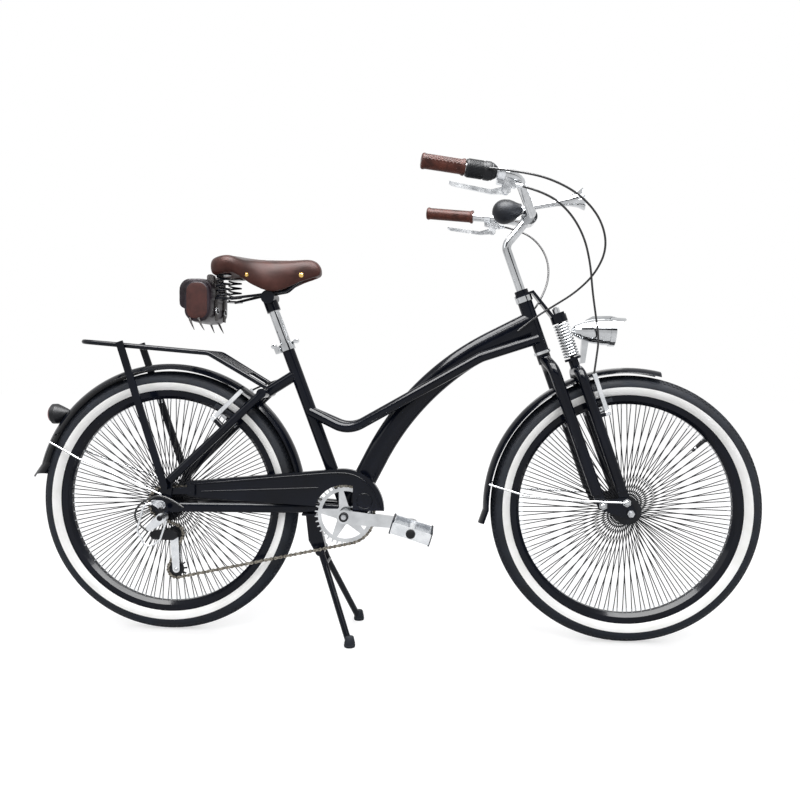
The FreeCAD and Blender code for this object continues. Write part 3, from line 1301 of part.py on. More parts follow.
for side, word in zip(sides, ("right", "left")):
    nodes["front_" + word + "_brake_arm"] = brake_arm(front_pivot, steer_up, steer_ahead, side, front_axle)
    nodes["rear_" + word + "_brake_arm"] = brake_arm(rear_pivot, stay_axis, stud_dir, side, rear_axle)

# Headlamp
lamp_tail = V(lamp_tail_ahead, 0, lamp_tail_height)
lamp_dir = V(1, 0, -0.05).normalize()
lamp_profile = [
    (0, 0), (0, 6), (6, 14), (20, lamp_radius * 0.66), (45, lamp_radius * 0.9), (75, lamp_radius), (90, lamp_radius),
    (90, lamp_radius + 2.5), (lamp_length, lamp_radius + 2.5), (lamp_length, lamp_radius - 1), (lamp_length - 8, lamp_radius - 3),
    (lamp_length - 8, 0)]
lamp_shell = turned_along(lamp_profile, lamp_tail, lamp_dir)
visor_tube = cylinder(lamp_tail + lamp_dir * 92, lamp_tail + lamp_dir * (lamp_length + 24), lamp_radius + 4)
visor_tube = visor_tube.cut(cylinder(lamp_tail + lamp_dir * 80, lamp_tail + lamp_dir * (lamp_length + 40), lamp_radius + 2.4))
lamp_up = V(0.05, 0, 1).normalize()
visor_cut = local_prism(
    lamp_tail, lamp_dir, lamp_up, [(60, 14), (100, 14), (lamp_length + 30, 34), (lamp_length + 30, -60), (60, -60)], 60)
lamp_visor = visor_tube.cut(visor_cut)
lamp_fin = local_prism(
    lamp_tail, lamp_dir, lamp_up,
    [(20, lamp_radius * 0.66 - 3), (48, lamp_radius + 4), (92, lamp_radius + 7), (lamp_length + 10, lamp_radius + 3),
     (92, lamp_radius - 3), (50, lamp_radius * 0.9 - 3)], 2.5)
bracket_foot = steer(strut_a + neck_radius + seat_gap, bridge_b + 14)
lamp_bracket = prism([
    (bracket_foot.x, bracket_foot.z), (bracket_foot.x + 12, bracket_foot.z + 2), (1056, lamp_tail_height - lamp_radius + 8),
    (1040, lamp_tail_height - lamp_radius + 10)], -8, 8)
lamp_bracket = lamp_bracket.cut(cylinder(steer(strut_a, bridge_b - 20), steer(strut_a, spring_low_b - 6), neck_radius + seat_gap))
lamp_bracket = lamp_bracket.cut(cylinder(steer(strut_a, spring_low_b - 8), steer(strut_a, spring_high_b), 20 + seat_gap))
nodes["headlamp"] = joined([lamp_shell, lamp_visor, lamp_fin, lamp_bracket])

# Stem, handlebar and what is clamped to it
bar_clamp = V(bar_clamp_ahead, 0, bar_clamp_height)
stem_points = [steer(0, head_top_b - 30), steer(0, stem_bend_b), bar_clamp]
stem_radius = steerer_radius - steerer_wall - running_fit
clamp_half = 22.0
stem_solid = rod(stem_points, stem_radius, 24).fuse(cross_cylinder(bar_clamp, -clamp_half, clamp_half, 19))
stem_solid = stem_solid.fuse(cross_cylinder(bar_clamp + V(-16, 0, -13), -8, 8, 7))
nodes["stem"] = stem_solid.cut(cross_cylinder(bar_clamp, -60, 60, bar_radius + running_fit))


def bar_point(ahead, half_span, height, side):
    return V(ahead, side * half_span, height)


bar_points = []
for side in sides:
    half = [
        bar_point(bar_end_ahead, bar_end_half_span, bar_end_height, side),
        bar_point(bar_corner_ahead, bar_corner_half_span, bar_corner_height, side),
        bar_point(bar_clamp_ahead, bar_bend_half_span, bar_clamp_height, side)]
    bar_points += half if side < 0 else half[::-1]
nodes["handlebar"] = tube(bar_points, bar_radius, bar_wall, 48)

sleeve_radius = bar_radius + running_fit
bar_bore = rod(bar_points, sleeve_radius, 48)
grip_parts = []
lever_mount_parts = []
lever_frames = {}
for side in sides:
    end = bar_point(bar_end_ahead, bar_end_half_span, bar_end_height, side)
    corner = bar_point(bar_corner_ahead, bar_corner_half_span, bar_corner_height, side)
    along = (corner - end).normalize()
    down = (V(0, 0, -1) - along * along.dot(V(0, 0, -1))).normalize()
    length = right_grip_length if side < 0 else left_grip_length
    grip = turned_along(
        [(-3, 0), (-3, grip_radius - 2), (0, grip_radius), (8, grip_radius + 1), (length * 0.5, grip_radius),
         (length - 6, grip_radius), (length - 4, grip_radius + 2), (length, grip_radius + 2), (length, 0)], end, along)
    grip_parts.append(grip.cut(cylinder(end, end + along * 200, sleeve_radius)))
    mount = end + along * lever_clamp_at
    clamp = cylinder(mount - along * 8, mount + along * 8, bar_radius + 5)
    body = local_prism(
        mount, along, down,
        [(-8, 8), (12, 8), (34, 14), (36, 28), (lever_pivot_forward + 4, lever_pivot_drop - 10), (-6, 24)], 7)
    slot_half = lever_thickness / 2 + seat_gap
    cheek = local_prism(
        mount, along, down,
        [(lever_pivot_forward - 9, 20), (lever_pivot_forward + 9, 20), (lever_pivot_forward + 9, lever_pivot_drop + 3),
         (lever_pivot_forward + 4, lever_pivot_drop + 8), (lever_pivot_forward - 4, lever_pivot_drop + 8),
         (lever_pivot_forward - 9, lever_pivot_drop + 3)], slot_half + 3)
    gap = local_prism(
        mount, along, down,
        [(lever_pivot_forward - 40, lever_pivot_drop - 10), (lever_pivot_forward + 12, lever_pivot_drop - 10),
         (lever_pivot_forward + 12, lever_pivot_drop + 20), (lever_pivot_forward - 40, lever_pivot_drop + 20)], slot_half)
    pivot = mount + along * lever_pivot_forward + down * lever_pivot_drop
    beside = along.cross(down).normalize()
    pin = cylinder(pivot - beside * (slot_half + 2), pivot + beside * (slot_half + 2), lever_pin_radius)
    adjuster = cylinder(mount + along * 30 + down * 21, mount + along * 50 + down * 21, 5)
    solid = joined([clamp, body, cheek]).cut(gap).fuse([pin, adjuster])
    lever_mount_parts.append(solid.cut(bar_bore))
    blade = local_prism(
        pivot, along, down,
        [(7, -3), (7, 4), (0, 7), (-32, 12), (-lever_reach + 8, 7), (-lever_reach, 3), (-lever_reach, -2),
         (-lever_reach + 8, -1), (-34, 3), (-8, -7), (0, -8)], lever_thickness / 2)
    word = "right" if side < 0 else "left"
    nodes[word + "_brake_lever"] = blade.cut(
        cylinder(pivot - beside * 20, pivot + beside * 20, lever_pin_radius + running_fit))
    lever_frames[side] = (mount, along, down, beside)
nodes["grips"] = Part.makeCompound(grip_parts)
nodes["lever_mounts"] = Part.makeCompound(lever_mount_parts)

right_mount, right_along, right_down, right_beside = lever_frames[-1]
shifter_from = right_mount - right_along * (lever_clamp_at - shifter_start - 0.4)
shifter_to = shifter_from + right_along * shifter_length
shifter_sleeve = turned_along(
    [(0, 0), (0, shifter_radius - 2), (4, shifter_radius - 1), (shifter_length - 20, shifter_radius - 1),
     (shifter_length - 18, shifter_radius + 2), (shifter_length, shifter_radius + 2), (shifter_length, 0)],
    shifter_from, right_along)
nodes["twist_shifter"] = shifter_sleeve.cut(
    cylinder(shifter_from - right_along * 20, shifter_to + right_along * 20, sleeve_radius))

horn_turn = math.radians(horn_tilt)
horn_dir = V(math.cos(horn_turn), 0, math.sin(horn_turn))
bulb_centre = V(horn_bulb_ahead, horn_side, horn_bulb_height)
bulb_flat = horn_bulb_radius - 0.9
neck = bulb_flat + seat_gap
horn_profile = [
    (neck, 0), (neck, 12), (neck + 9, 12), (neck + 9, horn_tube_radius), (130, horn_tube_radius + 1.5),
    (162, horn_tube_radius + 6), (184, horn_bell_radius - 9), (horn_length - 2, horn_bell_radius - 1),
    (horn_length, horn_bell_radius), (horn_length, horn_bell_radius - 2), (184, horn_bell_radius - 11),
    (162, horn_tube_radius + 4), (130, horn_tube_radius - 0.5), (90, 3), (90, 0)]
horn_shell = turned_along(horn_profile, bulb_centre, horn_dir)
horn_foot = V(bar_clamp_ahead, horn_side, bar_clamp_height)
horn_over = (bar_clamp_ahead - horn_bulb_ahead) / math.cos(horn_turn)
horn_post = cylinder(horn_foot, bulb_centre + horn_dir * horn_over, 4.5)
horn_clamp = cross_cylinder(horn_foot, horn_side - 7, horn_side + 7, bar_radius + 4)
nodes["horn"] = joined([horn_shell, horn_post, horn_clamp]).cut(
    cross_cylinder(horn_foot, horn_side - 20, horn_side + 20, bar_radius + running_fit))
bulb = Part.makeSphere(horn_bulb_radius, bulb_centre)
neck_cut = cylinder(bulb_centre + horn_dir * bulb_flat, bulb_centre + horn_dir * 60, 40)
nodes["horn_bulb"] = bulb.cut(neck_cut)

# Cables along their routes
cable_start = {s: lever_frames[s][0] + lever_frames[s][1] * 51.2 + lever_frames[s][2] * 21 for s in sides}
front_arm_top = steer(strut_a + front_stud_length + 5, front_stud_height + brake_arm_length, -54)
front_cable = [
    cable_start[-1], V(918, -222, 1064), V(972, -198, 1030), V(1012, -164, 980), V(1034, -128, 922),
    V(1046, -94, 866), V(1060, -66, 812), V(1072, -52, 752), front_arm_top + V(4, -1, 34), front_arm_top + steer_up * 1.3]
nodes["front_brake_cable"] = rod(front_cable, cable_radius, None, "front brake cable")
tube_flank = main_tube_wide / 2 + cable_radius + seat_gap
rear_cable_front = [
    cable_start[1], V(912, 210, 1058), V(948, 160, 1020), V(968, 110, 968), V(966, 66, 912), V(946, 38, 862),
    V(918, 27, 818), V(880, tube_flank, 776)]
rear_arm_top = rear_pivot + stay_axis * brake_arm_length + stud_dir * 5 + across * 54
rear_cable_rear = [
    V(284, monostay_radius + 3.5, 648), V(256, 29, 640), V(228, 41, 631), rear_arm_top + stay_axis * 1.6]
shift_start = shifter_to - right_along * 9 - right_beside * (shifter_radius + 2 + cable_radius + seat_gap)
if shift_start.y > shifter_to.y:
    shift_start = shifter_to - right_along * 9 + right_beside * (shifter_radius + 2 + cable_radius + seat_gap)
shift_front = [
    shift_start, V(862, -258, 1100), V(930, -232, 1090), V(996, -206, 1062), V(1046, -178, 1016), V(1068, -146, 958),
    V(1050, -112, 904), V(1010, -78, 862), V(962, -46, 832), V(918, -27, 804), V(880, -tube_flank, 772)]
shift_rear = [
    V(58, -(dropout_y + chainstay_wide / 2 + cable_radius - 0.7), chainstay_tip.z), V(14, -83, 362), V(-32, -83, 350), V(-64, -82, 322), V(-62, -80, 288),
    V(-33, -78, 268)]
nodes["frame_cables"] = Part.makeCompound([
    rod(rear_cable_front, cable_radius, None, "rear brake cable, front run"),
    rod(rear_cable_rear, cable_radius, None, "rear brake cable, rear run"),
    rod(shift_front, cable_radius, None, "shift cable, front run"),
    rod(shift_rear, cable_radius, None, "shift cable, rear loop")])

# Origin under the middle of the overall box
flap_tip = polar(rear_axle, mudguard_radius, rear_mudguard_rear_angle) + flap_direction(rear_mudguard_rear_angle) * flap_length
origin_x = (wheelbase + tyre_radius + flap_tip.x) / 2
print("origin ahead of rear axle", round(origin_x, 3))
for name, shape in nodes.items():
    placed = shape.copy()
    placed.translate(V(-origin_x, 0, 0))
    placed.exportStep("parts/" + name + ".step")
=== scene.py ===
import json
import math

import bmesh
import bpy
from mathutils import Matrix, Vector


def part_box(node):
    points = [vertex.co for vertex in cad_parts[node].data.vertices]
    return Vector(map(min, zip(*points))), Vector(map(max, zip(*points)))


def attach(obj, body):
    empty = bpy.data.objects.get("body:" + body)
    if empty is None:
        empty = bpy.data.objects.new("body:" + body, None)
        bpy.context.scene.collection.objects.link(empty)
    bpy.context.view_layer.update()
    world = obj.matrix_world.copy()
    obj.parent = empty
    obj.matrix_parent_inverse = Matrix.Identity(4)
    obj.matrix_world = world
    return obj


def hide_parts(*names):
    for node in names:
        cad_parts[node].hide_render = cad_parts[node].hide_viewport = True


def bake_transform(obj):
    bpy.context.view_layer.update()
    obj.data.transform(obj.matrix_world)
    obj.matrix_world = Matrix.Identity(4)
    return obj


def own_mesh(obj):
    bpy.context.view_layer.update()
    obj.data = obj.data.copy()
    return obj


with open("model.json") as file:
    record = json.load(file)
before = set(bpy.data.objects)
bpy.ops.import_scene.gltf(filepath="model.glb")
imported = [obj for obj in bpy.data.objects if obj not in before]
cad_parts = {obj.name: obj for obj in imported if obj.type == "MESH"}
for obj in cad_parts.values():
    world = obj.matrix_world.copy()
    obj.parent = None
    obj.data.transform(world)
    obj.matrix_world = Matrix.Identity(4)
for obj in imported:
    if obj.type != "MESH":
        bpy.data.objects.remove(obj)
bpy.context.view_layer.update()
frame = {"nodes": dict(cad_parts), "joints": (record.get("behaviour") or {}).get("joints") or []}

MM = 0.001
across = Vector((0, 1, 0))
upward = Vector((0, 0, 1))
forward = Vector((1, 0, 0))
sides = (-1, 1)
side_words = {"right": -1, "left": 1}
joints = {joint["name"]: joint for joint in frame["joints"]}

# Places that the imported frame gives
rear_axle = Vector(joints["rear_wheel_spin"]["pos_m"])
front_axle = Vector(joints["front_wheel_spin"]["pos_m"])
bottom_bracket = Vector(joints["crank_spin"]["pos_m"])
rocker_pivot = Vector(joints["fork_rocker"]["pos_m"])
strut_pivot = Vector(joints["strut_pivot"]["pos_m"])
steer_foot = Vector(joints["steering"]["pos_m"])
steer_up = Vector(joints["steering"]["axis"])
steer_ahead = Vector((steer_up.z, 0, -steer_up.x))

# Sizes of the wheels and the fork (mm)
tyre_radius = 333.0
tyre_section = 27.0
white_band_top = 305.0
rim_inner = 262.0
rim_bed = 285.2
spokes_per_flange = 70
front_valve_ahead, front_valve_up = 193.0, 175.0
rear_valve_turn = math.radians(3)
strut_ahead = 65.6
spring_low, spring_high = 378.5, 464.5
spring_radius, spring_wire, spring_turns = 17.5, 2.5, 12
pivot_nut_face = 61.4
spring_bracket_top = 491.0

# Places of the bar, the cables, the bag, the cranks and the guard (mm)
bar_end, bar_corner = (649.0, 270.0, 1121.0), (855.0, 236.0, 1097.0)
bar_radius = 11.4
lever_clamp_at = 172.0
cable_radius = 2.5
cable_flank = 22.8
bag_size = (70.0, 156.0, 106.0)
bag_strap_side = 34.0
crank_cap_face = 76.8
guard_face = -57.4


def at(ahead, side, height):
    """Point in mm ahead of the rear axle, to the rider's left and above the ground."""
    return Vector((rear_axle.x + ahead * MM, side * MM, height * MM))


def steer(ahead, up, side=0.0):
    """Point in mm ahead of the steering axis, up along it and to the left."""
    return steer_foot + steer_ahead * (ahead * MM) + steer_up * (up * MM) + across * (side * MM)


def stand(origin, axis, ahead=forward):
    """Matrix that puts a piece made along Z on a point, along an axis."""
    z = Vector(axis).normalized()
    y = z.cross(ahead)
    if y.length < 0.01:
        y = z.cross(across)
    y.normalize()
    turn = Matrix((y.cross(z), y, z)).transposed().to_4x4()
    return Matrix.Translation(origin) @ turn


# Materials


def linear(code):
    """Linear colour of an sRGB hex value."""
    parts = [int(code[k:k + 2], 16) / 255 for k in (1, 3, 5)]
    return [c / 12.92 if c <= 0.04045 else ((c + 0.055) / 1.055) ** 2.4 for c in parts] + [1.0]


def wire(tree, kind, settings=None, inputs=None):
    """Adds a node with its settings; each input is a value or another node's output."""
    added = tree.nodes.new(kind)
    for key, value in (settings or {}).items():
        setattr(added, key, value)
    for key, value in (inputs or {}).items():
        if isinstance(value, bpy.types.NodeSocket):
            tree.links.new(value, added.inputs[key])
        else:
            added.inputs[key].default_value = value
    return added


def surface(name, dark, pale, patch, grain, rough, relief, cells=False, **sockets):
    """Material with colour patches, uneven gloss and a fine relief; patch, grain and relief are in mm."""
    made = bpy.data.materials.new(name)
    made.use_nodes = True
    tree = made.node_tree
    shader = tree.nodes["Principled BSDF"]
    for socket, value in sockets.items():
        shader.inputs[socket.replace("_", " ")].default_value = value
    place = wire(tree, "ShaderNodeTexCoord").outputs["Object"]
    patches = wire(tree, "ShaderNodeTexNoise", {}, {"Vector": place, "Scale": 1000 / patch, "Detail": 5.0})
    spread = wire(tree, "ShaderNodeMapRange", {}, {0: patches.outputs[0], 1: 0.3, 2: 0.7})
    tint = wire(tree, "ShaderNodeMix", {"data_type": "RGBA"}, {
        0: spread.outputs[0], 6: linear(dark), 7: linear(pale)})
    tree.links.new(tint.outputs[2], shader.inputs["Base Color"])
    gloss = wire(tree, "ShaderNodeMapRange", {}, {
        0: patches.outputs[0], 1: 0.3, 2: 0.7, 3: rough[0], 4: rough[1]})
    tree.links.new(gloss.outputs[0], shader.inputs["Roughness"])
    kind = "ShaderNodeTexVoronoi" if cells else "ShaderNodeTexNoise"
    fine = wire(tree, kind, {}, {"Vector": place, "Scale": 1000 / grain})
    bump = wire(tree, "ShaderNodeBump", {}, {
        "Height": fine.outputs[0], "Distance": relief * MM, "Strength": 0.5})
    tree.links.new(bump.outputs["Normal"], shader.inputs["Normal"])
    return made


# Stove enamel over steel: deep blue-black with a hard shine, faint orange peel and a trace of dust
enamel = surface(
    "gloss_black_enamel", "#090c14", "#0e121d", patch=90, grain=4, rough=(0.1, 0.2), relief=0.02,
    Specular_IOR_Level=0.11, Coat_Weight=0.08, Coat_Roughness=0.04)
# Chrome plate: a near mirror, with a slight haze where it has been handled
chrome = surface(
    "chrome_plate", "#a4a6a8", "#c2c4c6", patch=40, grain=1.5, rough=(0.04, 0.11), relief=0.004,
    Metallic=1.0)
# Polished cast alloy: paler and softer than chrome, with a cast skin
alloy = surface(
    "polished_alloy", "#c0c3c7", "#dcdee0", patch=25, grain=1.2, rough=(0.2, 0.32), relief=0.008,
    Metallic=1.0)
# Zinc-plated steel fasteners: grey with a slight grain
zinc = surface(
    "zinc_plated_steel", "#9a9c9f", "#c3c5c8", patch=12, grain=1.0, rough=(0.25, 0.42), relief=0.02,
    Metallic=1.0)
# Oiled chain steel: brown-grey where oil and dust have dried
chain_steel = surface(
    "oiled_chain_steel", "#2b2823", "#5e5a52", patch=6, grain=0.8, rough=(0.35, 0.55), relief=0.03,
    Metallic=0.8)
# Outer chain plates: the same steel painted paler, a painted highlight on the plates that face out, so that
# the inner plates between them read as shaded
highlit_plate_steel = surface(
    "chain_plate_painted_highlight", "#56524b", "#9a958b", patch=6, grain=0.8, rough=(0.3, 0.48), relief=0.03,
    Metallic=0.9)
# Black-oxide steel of cogs, spokes and hubs: dark with dull metal shine
oxide = surface(
    "black_oxide_steel", "#0b0c10", "#16181e", patch=20, grain=1.0, rough=(0.3, 0.45), relief=0.02,
    Specular_IOR_Level=0.2)
# Moulded nylon and ABS: dark grey-black with spark-eroded grain
plastic = surface(
    "moulded_black_nylon", "#0d0f13", "#15171c", patch=30, grain=0.7, rough=(0.38, 0.55), relief=0.04,
    Specular_IOR_Level=0.22)
# Vulcanised tread rubber: matt black-grey with a trace of bloom
rubber = surface(
    "vulcanised_tread_rubber", "#14171d", "#1f242d", patch=35, grain=1.6, rough=(0.62, 0.8), relief=0.08,
    Specular_IOR_Level=0.18)
# White sidewall rubber: chalky white, slightly soiled
white_rubber = surface(
    "white_sidewall_rubber", "#f3f3f0", "#ffffff", patch=45, grain=1.5, rough=(0.5, 0.65), relief=0.03)
# Smooth rubber of the horn bulb: soft blue-black sheen
bulb_rubber = surface(
    "moulded_bulb_rubber", "#0d1016", "#161a23", patch=25, grain=2.0, rough=(0.42, 0.55), relief=0.05,
    Specular_IOR_Level=0.2)
# PVC cable sheath: plain black, satin
sheath = surface(
    "cable_sheath_vinyl", "#08090b", "#101216", patch=20, grain=1.0, rough=(0.3, 0.42), relief=0.01)
# Waxed saddle leather: red-brown, mottled and worn paler, with grain drawn at 3 mm so that it shows
saddle_leather = surface(
    "waxed_brown_leather", "#35201c", "#57342e", patch=55, grain=3, rough=(0.36, 0.52), relief=0.22,
    cells=True, Specular_IOR_Level=0.12)
# Grip leather: the same hide, redder and glossier from handling
grip_leather = surface(
    "handled_brown_leather", "#361b16", "#5c3127", patch=18, grain=2.2, rough=(0.32, 0.5), relief=0.15,
    cells=True, Specular_IOR_Level=0.16)
# Bag panel leather: matt chestnut nap
panel_leather = surface(
    "matt_chestnut_leather", "#3b2321", "#51302c", patch=22, grain=2.4, rough=(0.6, 0.78), relief=0.18,
    cells=True, Specular_IOR_Level=0.1)
# Bag shell leather: dark and polished, so that it takes a grey sheen
shell_leather = surface(
    "polished_dark_leather", "#1e171b", "#342b33", patch=30, grain=2.6, rough=(0.26, 0.4), relief=0.12,
    cells=True, Specular_IOR_Level=0.15)
# Dyed thong and thread: nearly black, fibrous
thong = surface(
    "dyed_thong_leather", "#120d0c", "#241816", patch=8, grain=1.2, rough=(0.55, 0.75), relief=0.1)
# Brass rivets: yellow, rubbed bright
brass = surface(
    "rubbed_brass", "#b08a45", "#d9b873", patch=6, grain=0.8, rough=(0.18, 0.3), relief=0.01,
    Metallic=1.0)
# Clear moulded lens and red reflector lens
lens_glass = surface(
    "clear_lens_glass", "#f4f7f8", "#ffffff", patch=20, grain=3.0, rough=(0.02, 0.05), relief=0.05,
    Transmission_Weight=0.9, IOR=1.5)
red_lens = surface(
    "red_reflector_acrylic", "#7d0a0c", "#a31215", patch=12, grain=2.5, rough=(0.08, 0.16), relief=0.15,
    cells=True, Transmission_Weight=0.2, IOR=1.49)

node_finish = {
    enamel: [
        "head_tube", "frame_tubes", "seat_tube", "chainstays", "seatstays", "rear_fender", "front_fender",
        "springer_fork", "strut_legs", "chain_guard", "rear_rack", "kickstand_legs", "rear_rim", "front_rim",
        "rocker_links", "saddle_frame"],
    chrome: [
        "headset_cups", "seat_clamp", "stem", "handlebar", "crank_arms", "chainring", "horn", "headlamp",
        "seat_post", "rear_fender_stays", "front_fender_stays"],
    alloy: [
        "lever_mounts", "right_brake_lever", "left_brake_lever", "front_right_brake_arm",
        "front_left_brake_arm", "rear_right_brake_arm", "rear_left_brake_arm", "derailleur_body",
        "derailleur_cage", "right_pedal", "left_pedal"],
    zinc: ["rear_axle", "front_axle"],
    oxide: ["freewheel", "rear_hub", "front_hub"],
    plastic: [
        "tail_light", "derailleur_knuckle", "upper_jockey_wheel", "lower_jockey_wheel", "twist_shifter"],
    bulb_rubber: ["horn_bulb"],
}
for finish, names in node_finish.items():
    for name in names:
        held = frame["nodes"][name].data.materials
        held.clear()
        held.append(finish)


# Modelling steps


def choose(piece):
    """Makes a piece the active one and the only one selected."""
    bpy.ops.object.select_all(action="DESELECT")
    bpy.context.view_layer.objects.active = piece
    piece.select_set(True)


def begin(name, primitive, **sizes):
    """Adds a primitive, alone in the selection, and opens it in edit mode."""
    bpy.ops.object.select_all(action="DESELECT")
    primitive(**sizes)
    piece = bpy.context.object
    piece.name = name
    piece.data.name = name
    bpy.ops.object.mode_set(mode="EDIT")
    return piece


def pick(piece, kind, test):
    """Selects the faces, edges or vertices that pass a test on their middle and their direction."""
    bpy.ops.mesh.select_all(action="DESELECT")
    bpy.ops.mesh.select_mode(type=kind)
    shape = bmesh.from_edit_mesh(piece.data)
    if kind == "FACE":
        for face in shape.faces:
            face.select_set(test(face.calc_center_median(), face.normal))
    elif kind == "EDGE":
        for edge in shape.edges:
            first, second = (vertex.co for vertex in edge.verts)
            edge.select_set(test((first + second) / 2, (second - first).normalized()))
    else:
        for vertex in shape.verts:
            vertex.select_set(test(vertex.co, vertex.normal))
    shape.select_flush_mode()
    bmesh.update_edit_mesh(piece.data)


def paint(piece, finish, test):
    """Gives a second finish to the faces that pass a test on their middle and normal."""
    piece.data.materials.append(finish)
    number = len(piece.data.materials) - 1
    for face in piece.data.polygons:
        if test(face.center, face.normal):
            face.material_index = number


def change(piece, kind, **settings):
    """Adds a modifier and applies it at once."""
    choose(piece)
    modifier = piece.modifiers.new(kind.title(), kind)
    for key, value in settings.items():
        setattr(modifier, key, value)
    bpy.ops.object.modifier_apply(modifier=modifier.name)


def settle(piece, body, finish, place=None, crease=35):
    """Leaves edit mode, puts the place into the mesh, and gives the piece its finish and its body."""
    if bpy.context.object.mode == "EDIT":
        bpy.ops.object.mode_set(mode="OBJECT")
    choose(piece)
    bpy.ops.object.transform_apply(location=True, rotation=True, scale=True)
    if place is not None:
        piece.data.transform(place)
    if not piece.data.materials:
        piece.data.materials.append(finish)
    bpy.ops.object.shade_smooth_by_angle(angle=math.radians(crease))
    if body:
        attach(piece, body)
    return piece


def repeat(pattern, name, places):
    """One piece that holds a copy of the pattern at each place; the pattern itself goes."""
    if bpy.context.object.mode == "EDIT":
        bpy.ops.object.mode_set(mode="OBJECT")
    gathered = bmesh.new()
    for place in places:
        copy = pattern.data.copy()
        copy.transform(place)
        gathered.from_mesh(copy)
        bpy.data.meshes.remove(copy)
    mesh = bpy.data.meshes.new(name)
    gathered.to_mesh(mesh)
    gathered.free()
    for finish in pattern.data.materials:
        mesh.materials.append(finish)
    piece = bpy.data.objects.new(name, mesh)
    bpy.context.scene.collection.objects.link(piece)
    bpy.data.objects.remove(pattern)
    bpy.context.view_layer.objects.active = piece
    return piece


def lathe(name, outline, steps=32):
    """Turns an outline of (along, radius) points in mm about Z, left open in edit mode."""
    piece = begin(name, bpy.ops.mesh.primitive_plane_add, size=MM)
    bpy.ops.mesh.select_mode(type="VERT")
    bpy.ops.mesh.select_all(action="SELECT")
    bpy.ops.mesh.merge(type="CENTER")
    here = Vector()
    for number, (along, radius) in enumerate(outline):
        there = Vector((radius * MM, 0, along * MM))
        if number:
            bpy.ops.mesh.extrude_vertices_move(TRANSFORM_OT_translate={"value": there - here})
        else:
            bpy.ops.transform.translate(value=there - here)
        here = there
    bpy.ops.mesh.select_all(action="SELECT")
    bpy.ops.mesh.spin(steps=steps, angle=2 * math.pi, center=(0, 0, 0), axis=(0, 0, 1))
    bpy.ops.mesh.select_all(action="SELECT")
    bpy.ops.mesh.remove_doubles(threshold=0.01 * MM)
    bpy.ops.mesh.normals_make_consistent(inside=False)
    return piece


def from_axis(place):
    """Distance in mm from the axis that a piece was turned about."""
    return math.hypot(place.x, place.y) / MM


def step_number(place, steps):
    """Number of the step of a turned piece that a place is in."""
    return int((math.atan2(place.y, place.x) / (2 * math.pi) + 1) * steps)


def domed(name, radius, height, sides_count=6, dome=0.7):
    """Bolt head or acorn nut along Z, from 0 up: a flat-sided base with a dome."""
    piece = begin(
        name, bpy.ops.mesh.primitive_cylinder_add, vertices=sides_count, radius=radius * MM,
        depth=height * MM, location=(0, 0, height * MM / 2))
    bpy.ops.object.mode_set(mode="OBJECT")
    bpy.ops.object.transform_apply(location=True)
    bpy.ops.object.mode_set(mode="EDIT")
    pick(piece, "FACE", lambda middle, normal: normal.z > 0.9)
    bpy.ops.mesh.inset(thickness=radius * 0.12 * MM)
    rise = dome * radius
    before = (radius * 0.88, 0.0)
    for step in range(1, 5):
        turn = math.radians(20 * step)
        after = (radius * 0.88 * math.cos(turn), rise * math.sin(turn))
        lift = (0, 0, (after[1] - before[1]) * MM)
        bpy.ops.mesh.extrude_region_move(TRANSFORM_OT_translate={"value": lift})
        share = after[0] / before[0]
        bpy.ops.transform.resize(value=(share, share, 1))
        before = after
    return piece


# Wheels: tyres with tread and a white band, wire spokes with nipples, valves
wheels = {"front": front_axle, "rear": rear_axle}
turn_to_axle = Matrix.Rotation(-math.pi / 2, 4, "X")


def make_tyre(word, axle):
    """Tyre turned from its section; the tread blocks rise to the full radius."""
    steps, rows = 360, 30
    groove, wall = 1.4, 4.0
    tread_edge = math.radians(52)
    core_radius = tyre_radius - tyre_section
    bead = math.acos((rim_bed - core_radius) / tyre_section)

    def on_section(row, depth):
        angle = bead * (2 * row / rows - 1)
        reach = tyre_section - (depth if abs(angle) < tread_edge or depth == wall else 0.0)
        return reach * math.sin(angle), core_radius + reach * math.cos(angle)

    outline = [on_section(row, groove) for row in range(rows + 1)]
    outline += [on_section(row, wall) for row in range(rows, -1, -5)]
    outline.append(outline[0])
    piece = lathe(word + "_tyre_carcass", outline, steps)

    def outside(middle):
        return math.hypot(middle.z / MM, from_axis(middle) - core_radius) > tyre_section - 3

    def on_block(middle, normal):
        lean = abs(math.degrees(math.atan2(middle.z / MM, from_axis(middle) - core_radius)))
        segment = step_number(middle, steps)
        ribs = lean < 9 or (14 < lean < 26 and segment % 4 < 3) or (28 < lean < 51 and segment % 2)
        return outside(middle) and ribs

    pick(piece, "FACE", on_block)
    bpy.ops.mesh.extrude_region_shrink_fatten(TRANSFORM_OT_shrink_fatten={"value": groove * MM})
    bpy.ops.object.mode_set(mode="OBJECT")
    piece.data.materials.append(rubber)
    band_low = rim_bed + 1.0

    def on_band(middle, normal):
        return outside(middle) and band_low < from_axis(middle) < white_band_top

    paint(piece, white_rubber, on_band)
    settle(piece, word + "_wheel", rubber, Matrix.Translation(axle) @ turn_to_axle)
    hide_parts(word + "_tyre")


